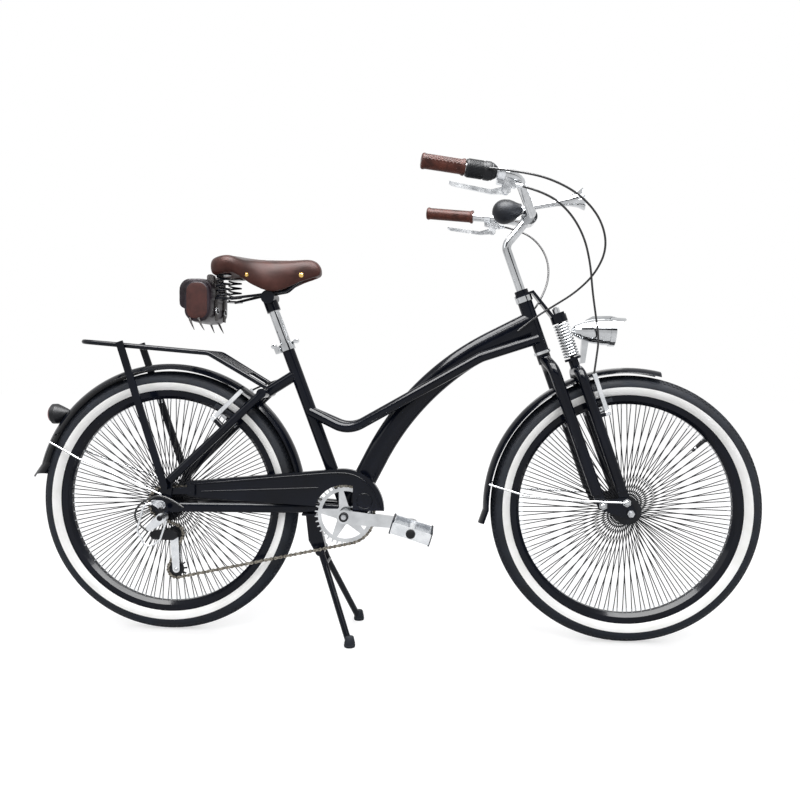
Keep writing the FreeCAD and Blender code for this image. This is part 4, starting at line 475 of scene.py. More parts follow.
def make_spokes(word, axle, flange_radius, flange_sides):
    """Wire spokes from the hub flanges to the rim well, each with its nipple."""
    hub_end = flange_radius - 3.0
    rim_end = rim_inner + 0.5
    wire_radius, nipple_radius, nipple_length = 1.2, 1.7, 11.0
    places = []
    for number, flange in enumerate(flange_sides):
        rim_side = math.copysign(3.0, flange)
        lean = Vector((0, rim_side - flange, rim_end - hub_end))
        length = lean.length
        first = stand(Vector((0, flange, hub_end)) * MM, lean)
        for k in range(spokes_per_flange):
            turn = 2 * math.pi * (k + 0.5 * number) / spokes_per_flange
            places.append(Matrix.Translation(axle) @ Matrix.Rotation(turn, 4, "Y") @ first)
    nipple_at = length - nipple_length
    outline = [
        (0, 0), (0, wire_radius), (nipple_at, wire_radius), (nipple_at, nipple_radius),
        (length, nipple_radius), (length, 0)]
    pattern = lathe(word + "_spoke", outline, 6)
    bpy.ops.object.mode_set(mode="OBJECT")
    pattern.data.materials.append(oxide)
    paint(pattern, zinc, lambda middle, normal: middle.z > (nipple_at - 0.5) * MM)
    piece = repeat(pattern, word + "_wire_spokes", places)
    settle(piece, word + "_wheel", oxide)
    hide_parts(word + "_spokes")


def make_valve(word, axle, angle):
    """Rubber valve stem with a metal cap, standing inwards from the rim."""
    stem = [
        (0, 0), (0, 6), (3, 6), (5, 4.2), (30, 3.8), (30, 3.2), (34, 3.2), (34, 4.0), (41, 4.0), (42, 3.2),
        (42, 0)]
    piece = lathe(word + "_valve", stem, 16)
    bpy.ops.object.mode_set(mode="OBJECT")
    piece.data.materials.append(plastic)
    paint(piece, zinc, lambda middle, normal: middle.z > 29.5 * MM and middle.z < 34.5 * MM)
    outward = Vector((math.cos(angle), 0, math.sin(angle)))
    root = axle + outward * ((rim_inner - 0.3) * MM)
    settle(piece, word + "_wheel", plastic, stand(root, -outward, across))


for word, axle in wheels.items():
    make_tyre(word, axle)
make_spokes("front", front_axle, 34.0, (-32.0, 32.0))
make_spokes("rear", rear_axle, 36.0, (-22.0, 30.0))
make_valve("front", front_axle, math.atan2(front_valve_up, front_valve_ahead))
make_valve("rear", rear_axle, rear_valve_turn)


# Chain: waisted plates, rollers and riveted pins, on the places of the frame's own links


def loose_parts(name):
    """Middle and width across of each separate solid in a CAD node."""
    shape = bmesh.new()
    shape.from_mesh(frame["nodes"][name].data)
    bmesh.ops.remove_doubles(shape, verts=shape.verts, dist=0.001 * MM)
    found = []
    waiting = set(shape.verts)
    while waiting:
        group = [waiting.pop()]
        for vertex in group:
            for edge in vertex.link_edges:
                other = edge.other_vert(vertex)
                if other in waiting:
                    waiting.remove(other)
                    group.append(other)
        low = [min(v.co[k] for v in group) for k in range(3)]
        high = [max(v.co[k] for v in group) for k in range(3)]
        found.append(((Vector(low) + Vector(high)) / 2, high[1] - low[1]))
    shape.free()
    return found


def link_plate(name, pitch):
    """Chain plate with round ends and a waist, in XZ about the middle between its pins."""
    piece = begin(name, bpy.ops.mesh.primitive_circle_add, vertices=20, radius=4.2 * MM, fill_type="NGON")
    bpy.ops.mesh.select_mode(type="VERT")
    for side in sides:
        pick(piece, "VERT", lambda place, normal: place.x * side > 0.1 * MM)
        bpy.ops.transform.translate(value=(side * pitch / 2 * MM, 0, 0))
    pick(piece, "VERT", lambda place, normal: abs(place.x) < 0.1 * MM)
    bpy.ops.transform.resize(value=(1, 0.5, 1))
    bpy.ops.mesh.select_all(action="SELECT")
    bpy.ops.mesh.extrude_region_move(TRANSFORM_OT_translate={"value": (0, 0, 1.0 * MM)})
    bpy.ops.mesh.select_all(action="SELECT")
    bpy.ops.mesh.normals_make_consistent(inside=False)
    bpy.ops.object.mode_set(mode="OBJECT")
    piece.data.transform(Matrix.Rotation(math.pi / 2, 4, "X") @ Matrix.Translation((0, 0, -0.5 * MM)))
    return piece


def make_chain():
    """Chain on the places of the frame's plates and rollers, with the outer plates painted paler as a painted
    highlight.
    """
    pitch = 12.7
    parts = loose_parts("chain")
    rollers = [middle for middle, wide in parts if wide > 2 * MM]
    plates = [middle for middle, wide in parts if wide < 2 * MM]
    plate_places = {"inner": [], "outer": []}
    line = sum(roller.y for roller in rollers) / len(rollers)
    reach = max(abs(middle.y - line) for middle in plates)
    for middle in plates:
        flat = [Vector((roller.x - middle.x, 0, roller.z - middle.z)) for roller in rollers]
        nearest = min(flat, key=lambda gap: abs(gap.length - pitch / 2 * MM))
        turn = Matrix.Rotation(-math.atan2(nearest.z, nearest.x), 4, "Y")
        row = "outer" if abs(middle.y - line) > 0.8 * reach else "inner"
        plate_places[row].append(Matrix.Translation(middle) @ turn)
    # The outer row takes the paler steel, a painted highlight; the inner row keeps the darker steel
    for row, finish in (("inner", chain_steel), ("outer", highlit_plate_steel)):
        plate_piece = repeat(link_plate("plate", pitch), row + "_chain_plates", plate_places[row])
        settle(plate_piece, "frame", finish)
        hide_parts("chain")
    pin_half = [(1.2, 3.6), (1.2, 1.9), (4.2, 1.5), (4.2, 0)]
    pin_outline = [(-along, radius) for along, radius in reversed(pin_half)] + pin_half
    roller_places = [Matrix.Translation(roller) @ turn_to_axle for roller in rollers]
    pin_piece = repeat(lathe("pin", pin_outline, 10), "chain_pins_rollers", roller_places)
    settle(pin_piece, "frame", chain_steel)


make_chain()


# Fork spring between the strut's seat and the bracket


def make_fork_spring():
    """Plated coil between the strut's seat and the bracket, one ring turned along the rod."""
    piece = begin(
        "fork_coil", bpy.ops.mesh.primitive_circle_add, vertices=12, radius=spring_wire * MM,
        rotation=(math.pi / 2, 0, 0), location=(spring_radius * MM, 0, 0))
    bpy.ops.object.mode_set(mode="OBJECT")
    bpy.ops.object.transform_apply(location=True, rotation=True)
    rise = (spring_high - spring_low) / spring_turns
    change(
        piece, "SCREW", angle=2 * math.pi, screw_offset=rise * MM, iterations=spring_turns, steps=36,
        render_steps=36, use_normal_calculate=True)
    bpy.ops.object.mode_set(mode="EDIT")
    bpy.ops.mesh.select_all(action="SELECT")
    bpy.ops.mesh.fill_holes(sides=0)
    bpy.ops.mesh.normals_make_consistent(inside=False)
    foot = steer(strut_ahead, spring_low)
    settle(piece, "fork", chrome, stand(foot, steer_up))
    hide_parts("fork_spring")
    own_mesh(piece)


make_fork_spring()


# Cables on their routes


def bar_frame(side):
    """Lever clamp's place on the bar, with the directions along the bar and down from it."""
    end, corner = (at(ahead, side * out, height) for ahead, out, height in (bar_end, bar_corner))
    along = (corner - end).normalized()
    down = (-upward + along * along.dot(upward)).normalized()
    return end, end + along * (lever_clamp_at * MM), along, down


def cable(name, route, radius=cable_radius, tip=1.0):
    """Mesh tube on one smooth line through a route of given points, narrowed at its tip."""
    curve = bpy.data.curves.new(name, "CURVE")
    curve.dimensions = "3D"
    curve.bevel_depth = radius * MM
    curve.bevel_resolution = 3
    curve.resolution_u = 10
    curve.use_fill_caps = True
    spline = curve.splines.new("NURBS")
    spline.points.add(len(route) - 1)
    for point, place in zip(spline.points, route):
        point.co = (*place, 1)
    spline.points[-1].radius = tip
    spline.order_u = 3
    spline.use_endpoint_u = True
    piece = bpy.data.objects.new(name, curve)
    bpy.context.scene.collection.objects.link(piece)
    choose(piece)
    bpy.ops.object.convert(target="MESH")
    return bpy.context.object


def cable_start(side):
    """Place where a brake cable leaves its lever."""
    end, mount, along, down = bar_frame(side)
    return mount + along * (51.2 * MM) + down * (21 * MM)


def make_cables():
    """Five runs of cable: the front brake's, two from the bar that are left on no body, and two tails behind.
    """
    front_arm_top = steer(strut_ahead + 28, 324, -54)
    front_route = [cable_start(-1)] + [at(*p) for p in (
        (918, -222, 1064), (972, -198, 1030), (1012, -164, 980), (1034, -128, 922), (1046, -94, 866),
        (1060, -66, 812), (1072, -52, 752))] + [front_arm_top + Vector((4, -1, 34)) * MM, front_arm_top]
    front = settle(cable("front_brake_line", front_route), "fork", sheath, None, 60)
    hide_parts("front_brake_cable")
    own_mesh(front)
    rear_route = [cable_start(1)] + [at(*p) for p in (
        (912, 210, 1058), (948, 160, 1020), (968, 110, 968), (966, 66, 912), (946, 38, 862), (918, 27, 818),
        (880, cable_flank, 776))]
    end, mount, along, down = bar_frame(-1)
    outward = along.cross(down)
    outward = -outward if outward.y > 0 else outward
    shift_start = end + along * (140.4 * MM) + outward * (23.8 * MM)
    shift_route = [shift_start] + [at(*p) for p in (
        (862, -258, 1100), (930, -232, 1090), (996, -206, 1062), (1046, -178, 1016), (1068, -146, 958),
        (1050, -112, 904), (1010, -78, 862), (962, -46, 832), (918, -27, 804), (880, -cable_flank, 772))]
    for name, route in (("rear_brake_line", rear_route), ("shift_line", shift_route)):
        piece = settle(cable(name, route), None, sheath, None, 60)
        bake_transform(piece)
        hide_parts("frame_cables")
    stay_axis = (at(248, 0, 613) - at(20, 0, 395)).normalized()
    stud = Vector((-stay_axis.z, 0, stay_axis.x))
    rear_arm_top = at(20, 54, 395) + stay_axis * (284 * MM) + stud * (38 * MM)
    lower = [
        ("rear_brake_tail", [at(284, 17.5, 648), at(256, 29, 640), at(228, 41, 631), rear_arm_top]),
        ("shift_loop", [at(*p) for p in (
            (58, -76.8, 328), (14, -83, 362), (-32, -83, 350), (-64, -82, 322), (-62, -80, 288),
            (-33, -78, 268))])]
    for name, route in lower:
        piece = settle(cable(name, route), "frame", sheath, None, 60)
        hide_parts("frame_cables")


make_cables()


# Soft goods: saddle, bag and grips


def copy_of(name, node):
    """Welded copy of a CAD node's mesh as a new piece."""
    piece = bpy.data.objects.new(name, frame["nodes"][node].data.copy())
    piece.data.name = name
    piece.data.materials.clear()
    bpy.context.scene.collection.objects.link(piece)
    choose(piece)
    bpy.ops.object.mode_set(mode="EDIT")
    bpy.ops.mesh.select_all(action="SELECT")
    bpy.ops.mesh.remove_doubles(threshold=0.02 * MM)
    bpy.ops.object.mode_set(mode="OBJECT")
    return piece


def inflate(piece, pressure, cap):
    """Swells a closed mesh as stuffed leather; no point moves by more than the cap in mm."""
    rest = [vertex.co.copy() for vertex in piece.data.vertices]
    cloth = piece.modifiers.new("Cloth", "CLOTH")
    cloth.settings.use_pressure = True
    cloth.settings.uniform_pressure_force = pressure
    cloth.settings.effector_weights.gravity = 0
    cloth.settings.quality = 4
    for number in range(1, 13):
        bpy.context.scene.frame_set(number)
    bpy.context.view_layer.objects.active = piece
    bpy.ops.object.modifier_apply(modifier=cloth.name)
    bpy.context.scene.frame_set(1)
    for vertex, start in zip(piece.data.vertices, rest):
        move = vertex.co - start
        if vertex.normal.z < -0.4:
            move = Vector()
        if move.length > cap * MM:
            move = move.normalized() * (cap * MM)
        vertex.co = start + move


def make_saddle():
    """Leather cover swelled over the saddle's solid, with brass rivets set on its sides."""
    piece = copy_of("saddle_cover", "saddle")
    piece.data.remesh_voxel_size = 4 * MM
    bpy.ops.object.voxel_remesh()
    change(piece, "SMOOTH", factor=0.5, iterations=8)
    bpy.ops.object.mode_set(mode="EDIT")
    back = at(135, 0, 0).x
    pick(piece, "VERT", lambda place, normal: place.x < back)
    bpy.ops.transform.translate(
        value=(15 * MM, 0, -4 * MM), use_proportional_edit=True, proportional_edit_falloff="SMOOTH",
        proportional_size=90 * MM)
    bpy.ops.object.mode_set(mode="OBJECT")
    inflate(piece, 2.0, 2.0)
    change(piece, "SUBSURF", levels=1, render_levels=1)
    rivets = []
    for ahead, height, head in ((216.7, 902.4, 4.6), (342.1, 907.6, 5.6)):
        for side in sides:
            found, place, normal, number = piece.ray_cast(at(ahead, side * 200, height), across * -side)
            rivets.append((stand(place, normal), head))
    settle(piece, "seat", saddle_leather, None, 60)
    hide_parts("saddle")
    for number, (place, head) in enumerate(rivets):
        rivet = lathe("saddle_rivet_%d" % (number + 1), [
            (-2, 0), (-2, head), (0.5, head), (1.3, 0.8 * head), (1.9, 0.4 * head), (2, 0)], 24)
        settle(rivet, "seat", brass, place)


make_saddle()


def make_grip(word, side, length):
    """Leather grip: turned sleeve with an end roll, a collar and, on the right grip only, a basket weave on
    its upper half.
    """
    end, mount, along, down = bar_frame(side)
    outline = [(-3, 0), (-3, 12), (-2, 15.5), (1, 17.3), (4, 17.3), (6.5, 16.2)]
    rows = int((length - 16) / 4)
    for row in range(rows + 1):
        outline.append((8 + row * (length - 18) / rows, 15.9))
    outline += [
        (length - 7, 16.6), (length - 5, 18.2), (length - 1, 18.2), (length, 17.2), (length, 11.3), (0, 11.3)]
    steps = 36
    piece = lathe(word + "_grip_leather", outline, steps)
    place = stand(end, along, -down)

    def woven(middle, normal):
        on_sleeve = from_axis(middle) > 15 and 9 < middle.z / MM < length - 11
        row = int((middle.z / MM - 8) / ((length - 18) / rows))
        return on_sleeve and middle.x > 0 and (row + step_number(middle, steps)) % 2 == 0

    if side < 0:
        pick(piece, "FACE", woven)
        bpy.ops.mesh.inset(thickness=0.35 * MM, use_individual=True)
        bpy.ops.transform.shrink_fatten(value=0.5 * MM)
    settle(piece, "fork", grip_leather, place, 50)
    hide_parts("grips")


make_grip("right", -1, 92.0)
make_grip("left", 1, 130.0)


def make_bag():
    """Leather roll bag under the saddle: a stuffed shell with bound end panels."""
    middle = at(93, 0, 840)
    size = Vector(bag_size) * MM
    body = begin("bag_shell", bpy.ops.mesh.primitive_cube_add, size=1)
    bpy.ops.transform.resize(value=size)
    pick(body, "EDGE", lambda place, heading: abs(heading.y) > 0.9)
    bpy.ops.mesh.bevel(offset=30 * MM, segments=8, affect="EDGES")
    for side in sides:
        pick(body, "FACE", lambda place, normal: normal.y * side > 0.9)
        bpy.ops.mesh.inset(thickness=6 * MM)
        bpy.ops.transform.translate(value=(0, side * -2.5 * MM, 0))
        bpy.ops.mesh.inset(thickness=2.5 * MM)
        bpy.ops.transform.translate(value=(0, side * 2.0 * MM, 0))
        bpy.ops.mesh.inset(thickness=6 * MM)
        bpy.ops.transform.translate(value=(0, side * 1.5 * MM, 0))
    bpy.ops.object.mode_set(mode="OBJECT")
    body.data.materials.append(shell_leather)

    def on_panel(place, normal):
        within = (abs(place.x) / (25.5 * MM)) ** 4 + (abs(place.z) / (43.5 * MM)) ** 4 < 1
        return abs(place.y) > size.y / 2 - 3 * MM and within and abs(normal.y) > 0.3

    paint(body, panel_leather, on_panel)
    change(body, "SUBSURF", levels=2, render_levels=2)
    settle(body, "seat", shell_leather, Matrix.Translation(middle), 50)
    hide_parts("tool_bag")


def make_bag_fittings():
    """Flap with its stud, straps and buckles on the front, hangers to the saddle and thongs at the ends."""
    flap = begin("bag_flap", bpy.ops.mesh.primitive_cube_add, size=1)
    bpy.ops.transform.resize(value=(86 * MM, 142 * MM, 78 * MM))
    pick(flap, "EDGE", lambda place, heading: abs(heading.y) > 0.9 and place.z > 0)
    bpy.ops.mesh.bevel(offset=30 * MM, segments=8, affect="EDGES")
    pick(flap, "EDGE", lambda place, heading: abs(heading.y) > 0.9 and place.z < -30 * MM and place.x < 0)
    bpy.ops.mesh.bevel(offset=16 * MM, segments=5, affect="EDGES")
    pick(flap, "FACE", lambda place, normal: abs(normal.y) > 0.9)
    bpy.ops.mesh.inset(thickness=3 * MM, use_individual=True)
    bpy.ops.object.mode_set(mode="OBJECT")
    change(flap, "SUBSURF", levels=1, render_levels=1)
    settle(flap, "seat", shell_leather, Matrix.Translation(at(87, 0, 858)), 50)
    for word, side in side_words.items():
        out = side * bag_strap_side
        strap = begin(word + "_bag_strap", bpy.ops.mesh.primitive_cube_add, size=1)
        bpy.ops.transform.resize(value=(3 * MM, 18 * MM, 98 * MM))
        pick(strap, "EDGE", lambda place, heading: abs(heading.z) > 0.9 or abs(heading.y) > 0.9)
        bpy.ops.mesh.bevel(offset=1.2 * MM, segments=3, affect="EDGES")
        settle(strap, "seat", thong, Matrix.Translation(at(128.6, out, 842)), 50)
        hanger = begin(word + "_bag_hanger", bpy.ops.mesh.primitive_cube_add, size=1)
        bpy.ops.transform.resize(value=(17 * MM, 18 * MM, 26 * MM))
        pick(hanger, "EDGE", lambda place, heading: abs(heading.y) > 0.9)
        bpy.ops.mesh.bevel(offset=6 * MM, segments=5, affect="EDGES")
        settle(hanger, "seat", thong, Matrix.Translation(at(116, out, 895)), 50)
        buckle = begin(
            word + "_bag_buckle", bpy.ops.mesh.primitive_torus_add, major_segments=4, minor_segments=8,
            major_radius=14 * MM, minor_radius=1.7 * MM)
        bpy.ops.transform.rotate(value=math.pi / 4, orient_axis="Z", center_override=(0, 0, 0))
        bpy.ops.transform.resize(value=(0.85, 1.25, 1))
        bpy.ops.object.mode_set(mode="OBJECT")
        change(buckle, "SUBSURF", levels=1, render_levels=1)
        settle(buckle, "seat", chrome, stand(at(131.2, out, 818), forward, upward))
        tails = (
            ((76, 80, 797), (80, 82, 786), (88, 80, 768)), ((98, 80, 797), (103, 83, 784), (113, 80, 767)))
        for number, tail in enumerate(tails):
            route = [at(ahead, side * y, height) for ahead, y, height in tail]
            lace = cable("%s_bag_thong_%d" % (word, number + 1), route, 3.0, 0.2)
            settle(lace, "seat", thong, None, 60)
    stud = lathe("bag_stud", [(-1, 0), (-1, 5.5), (1, 5.5), (2.6, 4), (3.4, 2), (3.6, 0)], 20)
    settle(stud, "seat", chrome, stand(at(44.6, -52, 858), -forward, upward))


make_bag()
make_bag_fittings()


# Lamp glass, tail lens, bolts and other small fittings


def make_lamp_glass():
    """Domed glass in the mouth of the headlamp."""
    tail, heading = at(1016, 0, 777), Vector((1, 0, -0.05)).normalized()
    piece = lathe("headlamp_glass", [
        (95.5, 0), (95.5, 30), (99, 30), (101, 27), (103, 18), (104, 0)], 48)
    settle(piece, "strut", lens_glass, stand(tail, heading))


def make_tail_lens():
    """Red lens on the rear face of the tail light."""
    low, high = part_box("tail_light")
    piece = lathe("tail_lens", [(0, 0), (0, 22), (2.5, 20.5), (4.5, 14), (5.2, 0)], 32)
    centre = Vector((low.x, 0, (low.z + high.z) / 2))
    settle(piece, "frame", red_lens, stand(centre + forward * (0.4 * MM), -forward, across))


def make_fork_nuts():
    """Plated acorn nuts on the rocker's two pivots."""
    for word, pivot, body in (("fork", rocker_pivot, "fork"), ("strut", strut_pivot, "strut")):
        for side_word, side in side_words.items():
            face = pivot + across * (side * pivot_nut_face * MM)
            piece = domed("%s_%s_pivot_nut" % (word, side_word), 10.2, 5.2)
            settle(piece, body, chrome, stand(face, across * side))


def make_shifter():
    """Ribbed twist drum, with the fixed cone that the shift line leaves from."""
    end, mount, along, down = bar_frame(-1)
    outline = [
        (94.6, bar_radius), (94.6, 17.6), (96, 18.8), (99, 19), (131, 19), (134, 19), (136, 20.6),
        (147, 20.6), (149.2, 19.4), (149.2, bar_radius), (94.6, bar_radius)]
    steps = 80
    drum = lathe("shifter_drum", outline, steps)

    def on_rib(middle, normal):
        return from_axis(middle) > 18 and 99 < middle.z / MM < 131 and step_number(middle, steps) % 2

    pick(drum, "FACE", on_rib)
    bpy.ops.mesh.extrude_region_shrink_fatten(TRANSFORM_OT_shrink_fatten={"value": 0.9 * MM})
    settle(drum, "shifter", plastic, stand(end, along))
    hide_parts("twist_shifter")
    cone = lathe("shifter_housing", [
        (149.6, bar_radius), (149.6, 18.6), (152, 19), (156, 16.6), (161, 13.4), (162, 12.4),
        (162, bar_radius), (149.6, bar_radius)], 48)
    settle(cone, "fork", plastic, stand(end, along))


def make_crank_cap(word, side):
    """Dust cap in the end of a crank, with a plated centre."""
    cap = lathe(word + "_crank_cap", [
        (0, 0), (0, 11.5), (1.8, 11.5), (2.6, 10.2), (2.6, 7.2), (1, 6.6), (1, 5.8), (2.2, 5.2),
        (2.2, 0)], 32)
    bpy.ops.object.mode_set(mode="OBJECT")
    cap.data.materials.append(plastic)
    paint(cap, zinc, lambda middle, normal: from_axis(middle) < 6.3)
    face = bottom_bracket + across * (side * crank_cap_face * MM)
    settle(cap, "crank", plastic, stand(face, across * side))


def make_pedal_fittings(word, side):
    """End cap of a pedal and the rubber treads on its front and rear edges."""
    low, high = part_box(word + "_pedal")
    pivot = Vector(joints[word + "_pedal_spin"]["pos_m"])
    end_cap = lathe(word + "_pedal_cap", [(-0.5, 0), (-0.5, 11), (2.4, 11), (3.4, 9.6), (3.8, 0)], 28)
    face = Vector((pivot.x, low.y if side < 0 else high.y, pivot.z))
    settle(end_cap, word + "_pedal", plastic, stand(face, across * side))
    tilt = math.radians(17)
    along = Vector((math.cos(tilt), 0, -math.sin(tilt)))
    corners = frame["nodes"][word + "_pedal"].data.vertices
    reach = max(abs((corner.co - pivot).dot(along)) for corner in corners) + 0.4 * MM
    for edge, end in (("rear", -1), ("front", 1)):
        bar = begin("%s_pedal_%s_tread" % (word, edge), bpy.ops.mesh.primitive_cube_add, size=1)
        bpy.ops.transform.resize(value=(33 * MM, 84 * MM, 5 * MM))
        pick(bar, "EDGE", lambda place, heading: abs(heading.y) > 0.9 or abs(heading.x) > 0.9)
        bpy.ops.mesh.bevel(offset=1.5 * MM, segments=3, affect="EDGES")
        centre = Vector((pivot.x, (low.y + high.y) / 2, pivot.z)) + along * (end * reach)
        place = stand(centre, along * end, along.cross(across))
        settle(bar, word + "_pedal", rubber, place)


def on_face(node, ahead, height):
    """Place of a bolt on the outer face of a node on the right side, facing out."""
    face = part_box(node)[0].y
    return stand(Vector((at(ahead, 0, 0).x, face, height * MM)), -across)


def make_gear_bolts():
    """Bolts of the jockey wheels, the derailleur and the rear end of the guard."""
    cage_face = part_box("derailleur_cage")[0].y
    for word in ("upper", "lower"):
        pivot = Vector(joints[word + "_jockey_spin"]["pos_m"])
        bolt = domed(word + "_jockey_bolt", 5, 2, 6, 0.3)
        settle(bolt, "cage", zinc, stand(Vector((pivot.x, cage_face, pivot.z)), -across))
    bolt = domed("guard_bolt", 5, 1.6, 16, 0.4)
    settle(bolt, "frame", chrome, stand(at(73.6, guard_face + 0.5, 370.8), -across))
    for number, (ahead, height) in enumerate(((9.9, 325.8), (6.6, 305.1))):
        bolt = domed("derailleur_bolt_%d" % (number + 1), 7, 1.6, 16, 0.25)
        settle(bolt, "frame", oxide, on_face("derailleur_body", ahead, height))
    bolt = domed("knuckle_bolt", 4, 1.2, 6, 0.3)
    settle(bolt, "derailleur", zinc, on_face("derailleur_knuckle", -22.9, 275.6))


def make_guard_trim():
    """Raised beads on the chain guard's edge and middle, and its bare ring."""
    edge = (
        (66, 383), (180, 394), (320, 408), (430, 419), (478, 417), (512, 397), (536, 366), (547, 332))
    bead = [at(ahead, guard_face, height) for ahead, height in edge]
    settle(cable("guard_edge_bead", bead, 2.2), "frame", enamel, None, 60)
    middle = ((96, 366), (200, 371), (300, 376), (392, 381))
    rib = [at(ahead, guard_face + 0.1, height) for ahead, height in middle]
    settle(cable("guard_rib_bead", rib, 1.8), "frame", enamel, None, 60)
    ring = lathe("guard_ring", [
        (-0.4, 17.4), (1.2, 18), (1.6, 18.7), (1.2, 19.4), (-0.4, 20), (-0.4, 17.4)], 48)
    settle(ring, "frame", enamel, stand(at(507, guard_face - 0.5, 350), -across))


def make_bulb_neck():
    """Neck that makes the horn's bulb pear-shaped down to its metal tube."""
    tilt = math.radians(9.3)
    heading = Vector((math.cos(tilt), 0, math.sin(tilt)))
    neck = lathe("horn_bulb_neck", [
        (8, 0), (8, 30.1), (16, 28.2), (24, 24), (32, 18.6), (39, 14.6), (43, 13.4), (44, 12.6), (44, 0)], 40)
    settle(neck, "fork", bulb_rubber, stand(at(848, 40, 1077), heading), 60)


def make_clamp_barrels():
    """Barrel nut and bolt head of the seat collar."""
    for word, ahead, height in (("rear", 268, 731), ("front", 324, 746)):
        barrel = lathe(word + "_clamp_barrel", [
            (-12, 0), (-12, 4.5), (-11, 6), (-8, 6.6), (8, 6.6), (11, 6), (12, 4.5), (12, 0)], 24)
        settle(barrel, "frame", chrome, stand(at(ahead, 0, height), across))


def make_stand_feet():
    """Rubber shoes on the ends of the two-legged stand."""
    for word, side in side_words.items():
        shoe = lathe(word + "_stand_shoe", [
            (0.2, 0), (0.2, 12.4), (1.2, 13.6), (6, 13.9), (7, 13), (8.4, 13), (9.4, 13.4), (22, 10.6),
            (25, 9.4), (26, 8), (26, 0)], 32)
        settle(shoe, "kickstand", rubber, stand(at(478, side * 100, 0), upward))


def paint_pads():
    """Black brake blocks on the alloy arms."""
    for wheel in ("front", "rear"):
        for word in side_words:
            node = frame["nodes"]["%s_%s_brake_arm" % (wheel, word)]
            paint(node, rubber, lambda middle, normal: abs(middle.y) < 28.8 * MM)


def paint_spring_nut():
    """Bright nut and rod end above the spring's bracket."""
    def above_bracket(middle, normal):
        return (middle - steer_foot).dot(steer_up) > spring_bracket_top * MM

    paint(frame["nodes"]["strut_legs"], chrome, above_bracket)


make_lamp_glass()
make_tail_lens()
make_fork_nuts()
make_shifter()
for word, side in side_words.items():
    make_crank_cap(word, side)
    make_pedal_fittings(word, side)
make_gear_bolts()
make_guard_trim()
make_bulb_neck()
make_clamp_barrels()
make_stand_feet()
paint_pads()
paint_spring_nut()


# Stage: white floor and sky, soft lights, and the photograph's camera


def seen_directly(tree):
    """1 for rays from the camera, from a reflection or through glass, and 0 for light that falls."""
    path = wire(tree, "ShaderNodeLightPath")
    total = path.outputs["Is Camera Ray"]
    for kind in ("Is Glossy Ray", "Is Transmission Ray"):
        total = wire(tree, "ShaderNodeMath", {"operation": "ADD", "use_clamp": True}, {
            0: total, 1: path.outputs[kind]}).outputs[0]
    return total


def make_floor():
    """Pale floor that looks white and still takes the shadow."""
    bpy.ops.object.select_all(action="DESELECT")
    bpy.ops.mesh.primitive_plane_add(size=30)
    floor = bpy.context.object
    floor.name = "studio_floor"
    finish = bpy.data.materials.new("white_paper_floor")
    finish.use_nodes = True
    tree = finish.node_tree
    tree.nodes.clear()
    glow = wire(tree, "ShaderNodeMath", {"operation": "MULTIPLY"}, {0: seen_directly(tree), 1: 0.58})
    paper = wire(tree, "ShaderNodeBsdfDiffuse", {}, {"Color": (0.55, 0.55, 0.555, 1)})
    light = wire(tree, "ShaderNodeEmission", {}, {"Color": (1, 1, 1, 1), "Strength": glow.outputs[0]})
    both = wire(tree, "ShaderNodeAddShader", {}, {0: paper.outputs[0], 1: light.outputs[0]})
    wire(tree, "ShaderNodeOutputMaterial", {}, {"Surface": both.outputs[0]})
    floor.data.materials.append(finish)


def make_sky():
    """Sky that is white where it is seen and softer where it lights."""
    world = bpy.data.worlds.new("studio_sky")
    bpy.context.scene.world = world
    world.use_nodes = True
    tree = world.node_tree
    tree.nodes.clear()
    level = wire(tree, "ShaderNodeMapRange", {}, {0: seen_directly(tree), 3: 0.78, 4: 1.0})
    sky = wire(tree, "ShaderNodeBackground", {}, {"Color": (1, 1, 1, 1), "Strength": level.outputs[0]})
    wire(tree, "ShaderNodeOutputWorld", {}, {"Surface": sky.outputs[0]})


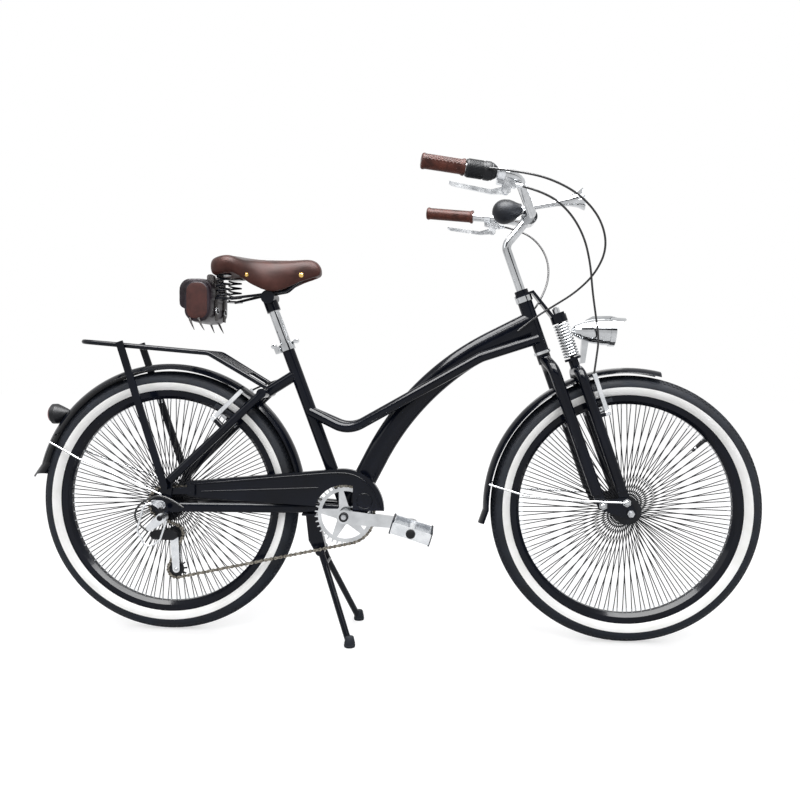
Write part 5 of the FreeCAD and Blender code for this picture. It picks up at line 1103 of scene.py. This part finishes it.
def make_lamps():
    """Three softboxes, and an overhead strip that only shows as the shine along the tubes."""
    aim = Vector((0, 0, 0.5))
    for name, place, wide, long, power in (
            ("key_softbox", (1.2, -2.6, 3.4), 2.4, 2.4, 50),
            ("fill_softbox", (-2.4, -1.6, 2.2), 1.8, 1.8, 18),
            ("rim_softbox", (0.2, 2.8, 2.8), 2.2, 2.2, 26),
            ("shine_strip", (0.1, -1.1, 3.3), 3.8, 2.3, 760)):
        lamp = bpy.data.lights.new(name, "AREA")
        lamp.shape = "RECTANGLE"
        lamp.energy = power
        lamp.size = wide
        lamp.size_y = long
        holder = bpy.data.objects.new(name, lamp)
        holder.location = place
        holder.rotation_euler = (aim - Vector(place)).to_track_quat("-Z", "Y").to_euler()
        holder.visible_diffuse = name != "shine_strip"
        bpy.context.scene.collection.objects.link(holder)


def make_flag():
    """Dark card behind the camera that gives the gloss and the chrome something to reflect."""
    bpy.ops.object.select_all(action="DESELECT")
    bpy.ops.mesh.primitive_plane_add(size=1)
    flag = bpy.context.object
    flag.name = "black_flag"
    upright = Matrix.Rotation(math.pi / 2, 4, "X") @ Matrix.Diagonal((7, 1.5, 1, 1))
    flag.data.transform(Matrix.Translation((0.2, -4.2, 2.5)) @ upright)
    finish = bpy.data.materials.new("black_felt")
    finish.use_nodes = True
    felt = finish.node_tree.nodes["Principled BSDF"]
    felt.inputs["Base Color"].default_value = linear("#3a3d42")
    felt.inputs["Roughness"].default_value = 0.9
    flag.data.materials.append(finish)
    flag.visible_camera = False
    flag.visible_diffuse = False
    flag.visible_shadow = False


def make_camera():
    """Camera at the photograph's viewpoint, from the two wheels' outlines."""
    yaw, pitch, roll = math.radians(-3.41), math.radians(2.35), math.radians(0.52)
    toward = Vector((math.sin(yaw) * math.cos(pitch), math.cos(yaw) * math.cos(pitch), -math.sin(pitch)))
    right = Vector((math.cos(yaw), -math.sin(yaw), 0))
    above = right.cross(toward)
    level_right = right * math.cos(roll) + above * math.sin(roll)
    level_up = above * math.cos(roll) - right * math.sin(roll)
    lens = bpy.data.cameras.new("photo_camera")
    lens.sensor_width = 36.0
    lens.lens = 33.67
    lens.clip_end = 100
    holder = bpy.data.objects.new("photo_camera", lens)
    holder.matrix_world = Matrix.Translation(at(702, -1886, 676)) @ Matrix(
        (level_right, level_up, -toward)).transposed().to_4x4()
    bpy.context.scene.collection.objects.link(holder)
    bpy.context.scene.camera = holder


make_floor()
make_sky()
make_lamps()
make_flag()
make_camera()
bpy.context.scene.view_settings.view_transform = "Standard"
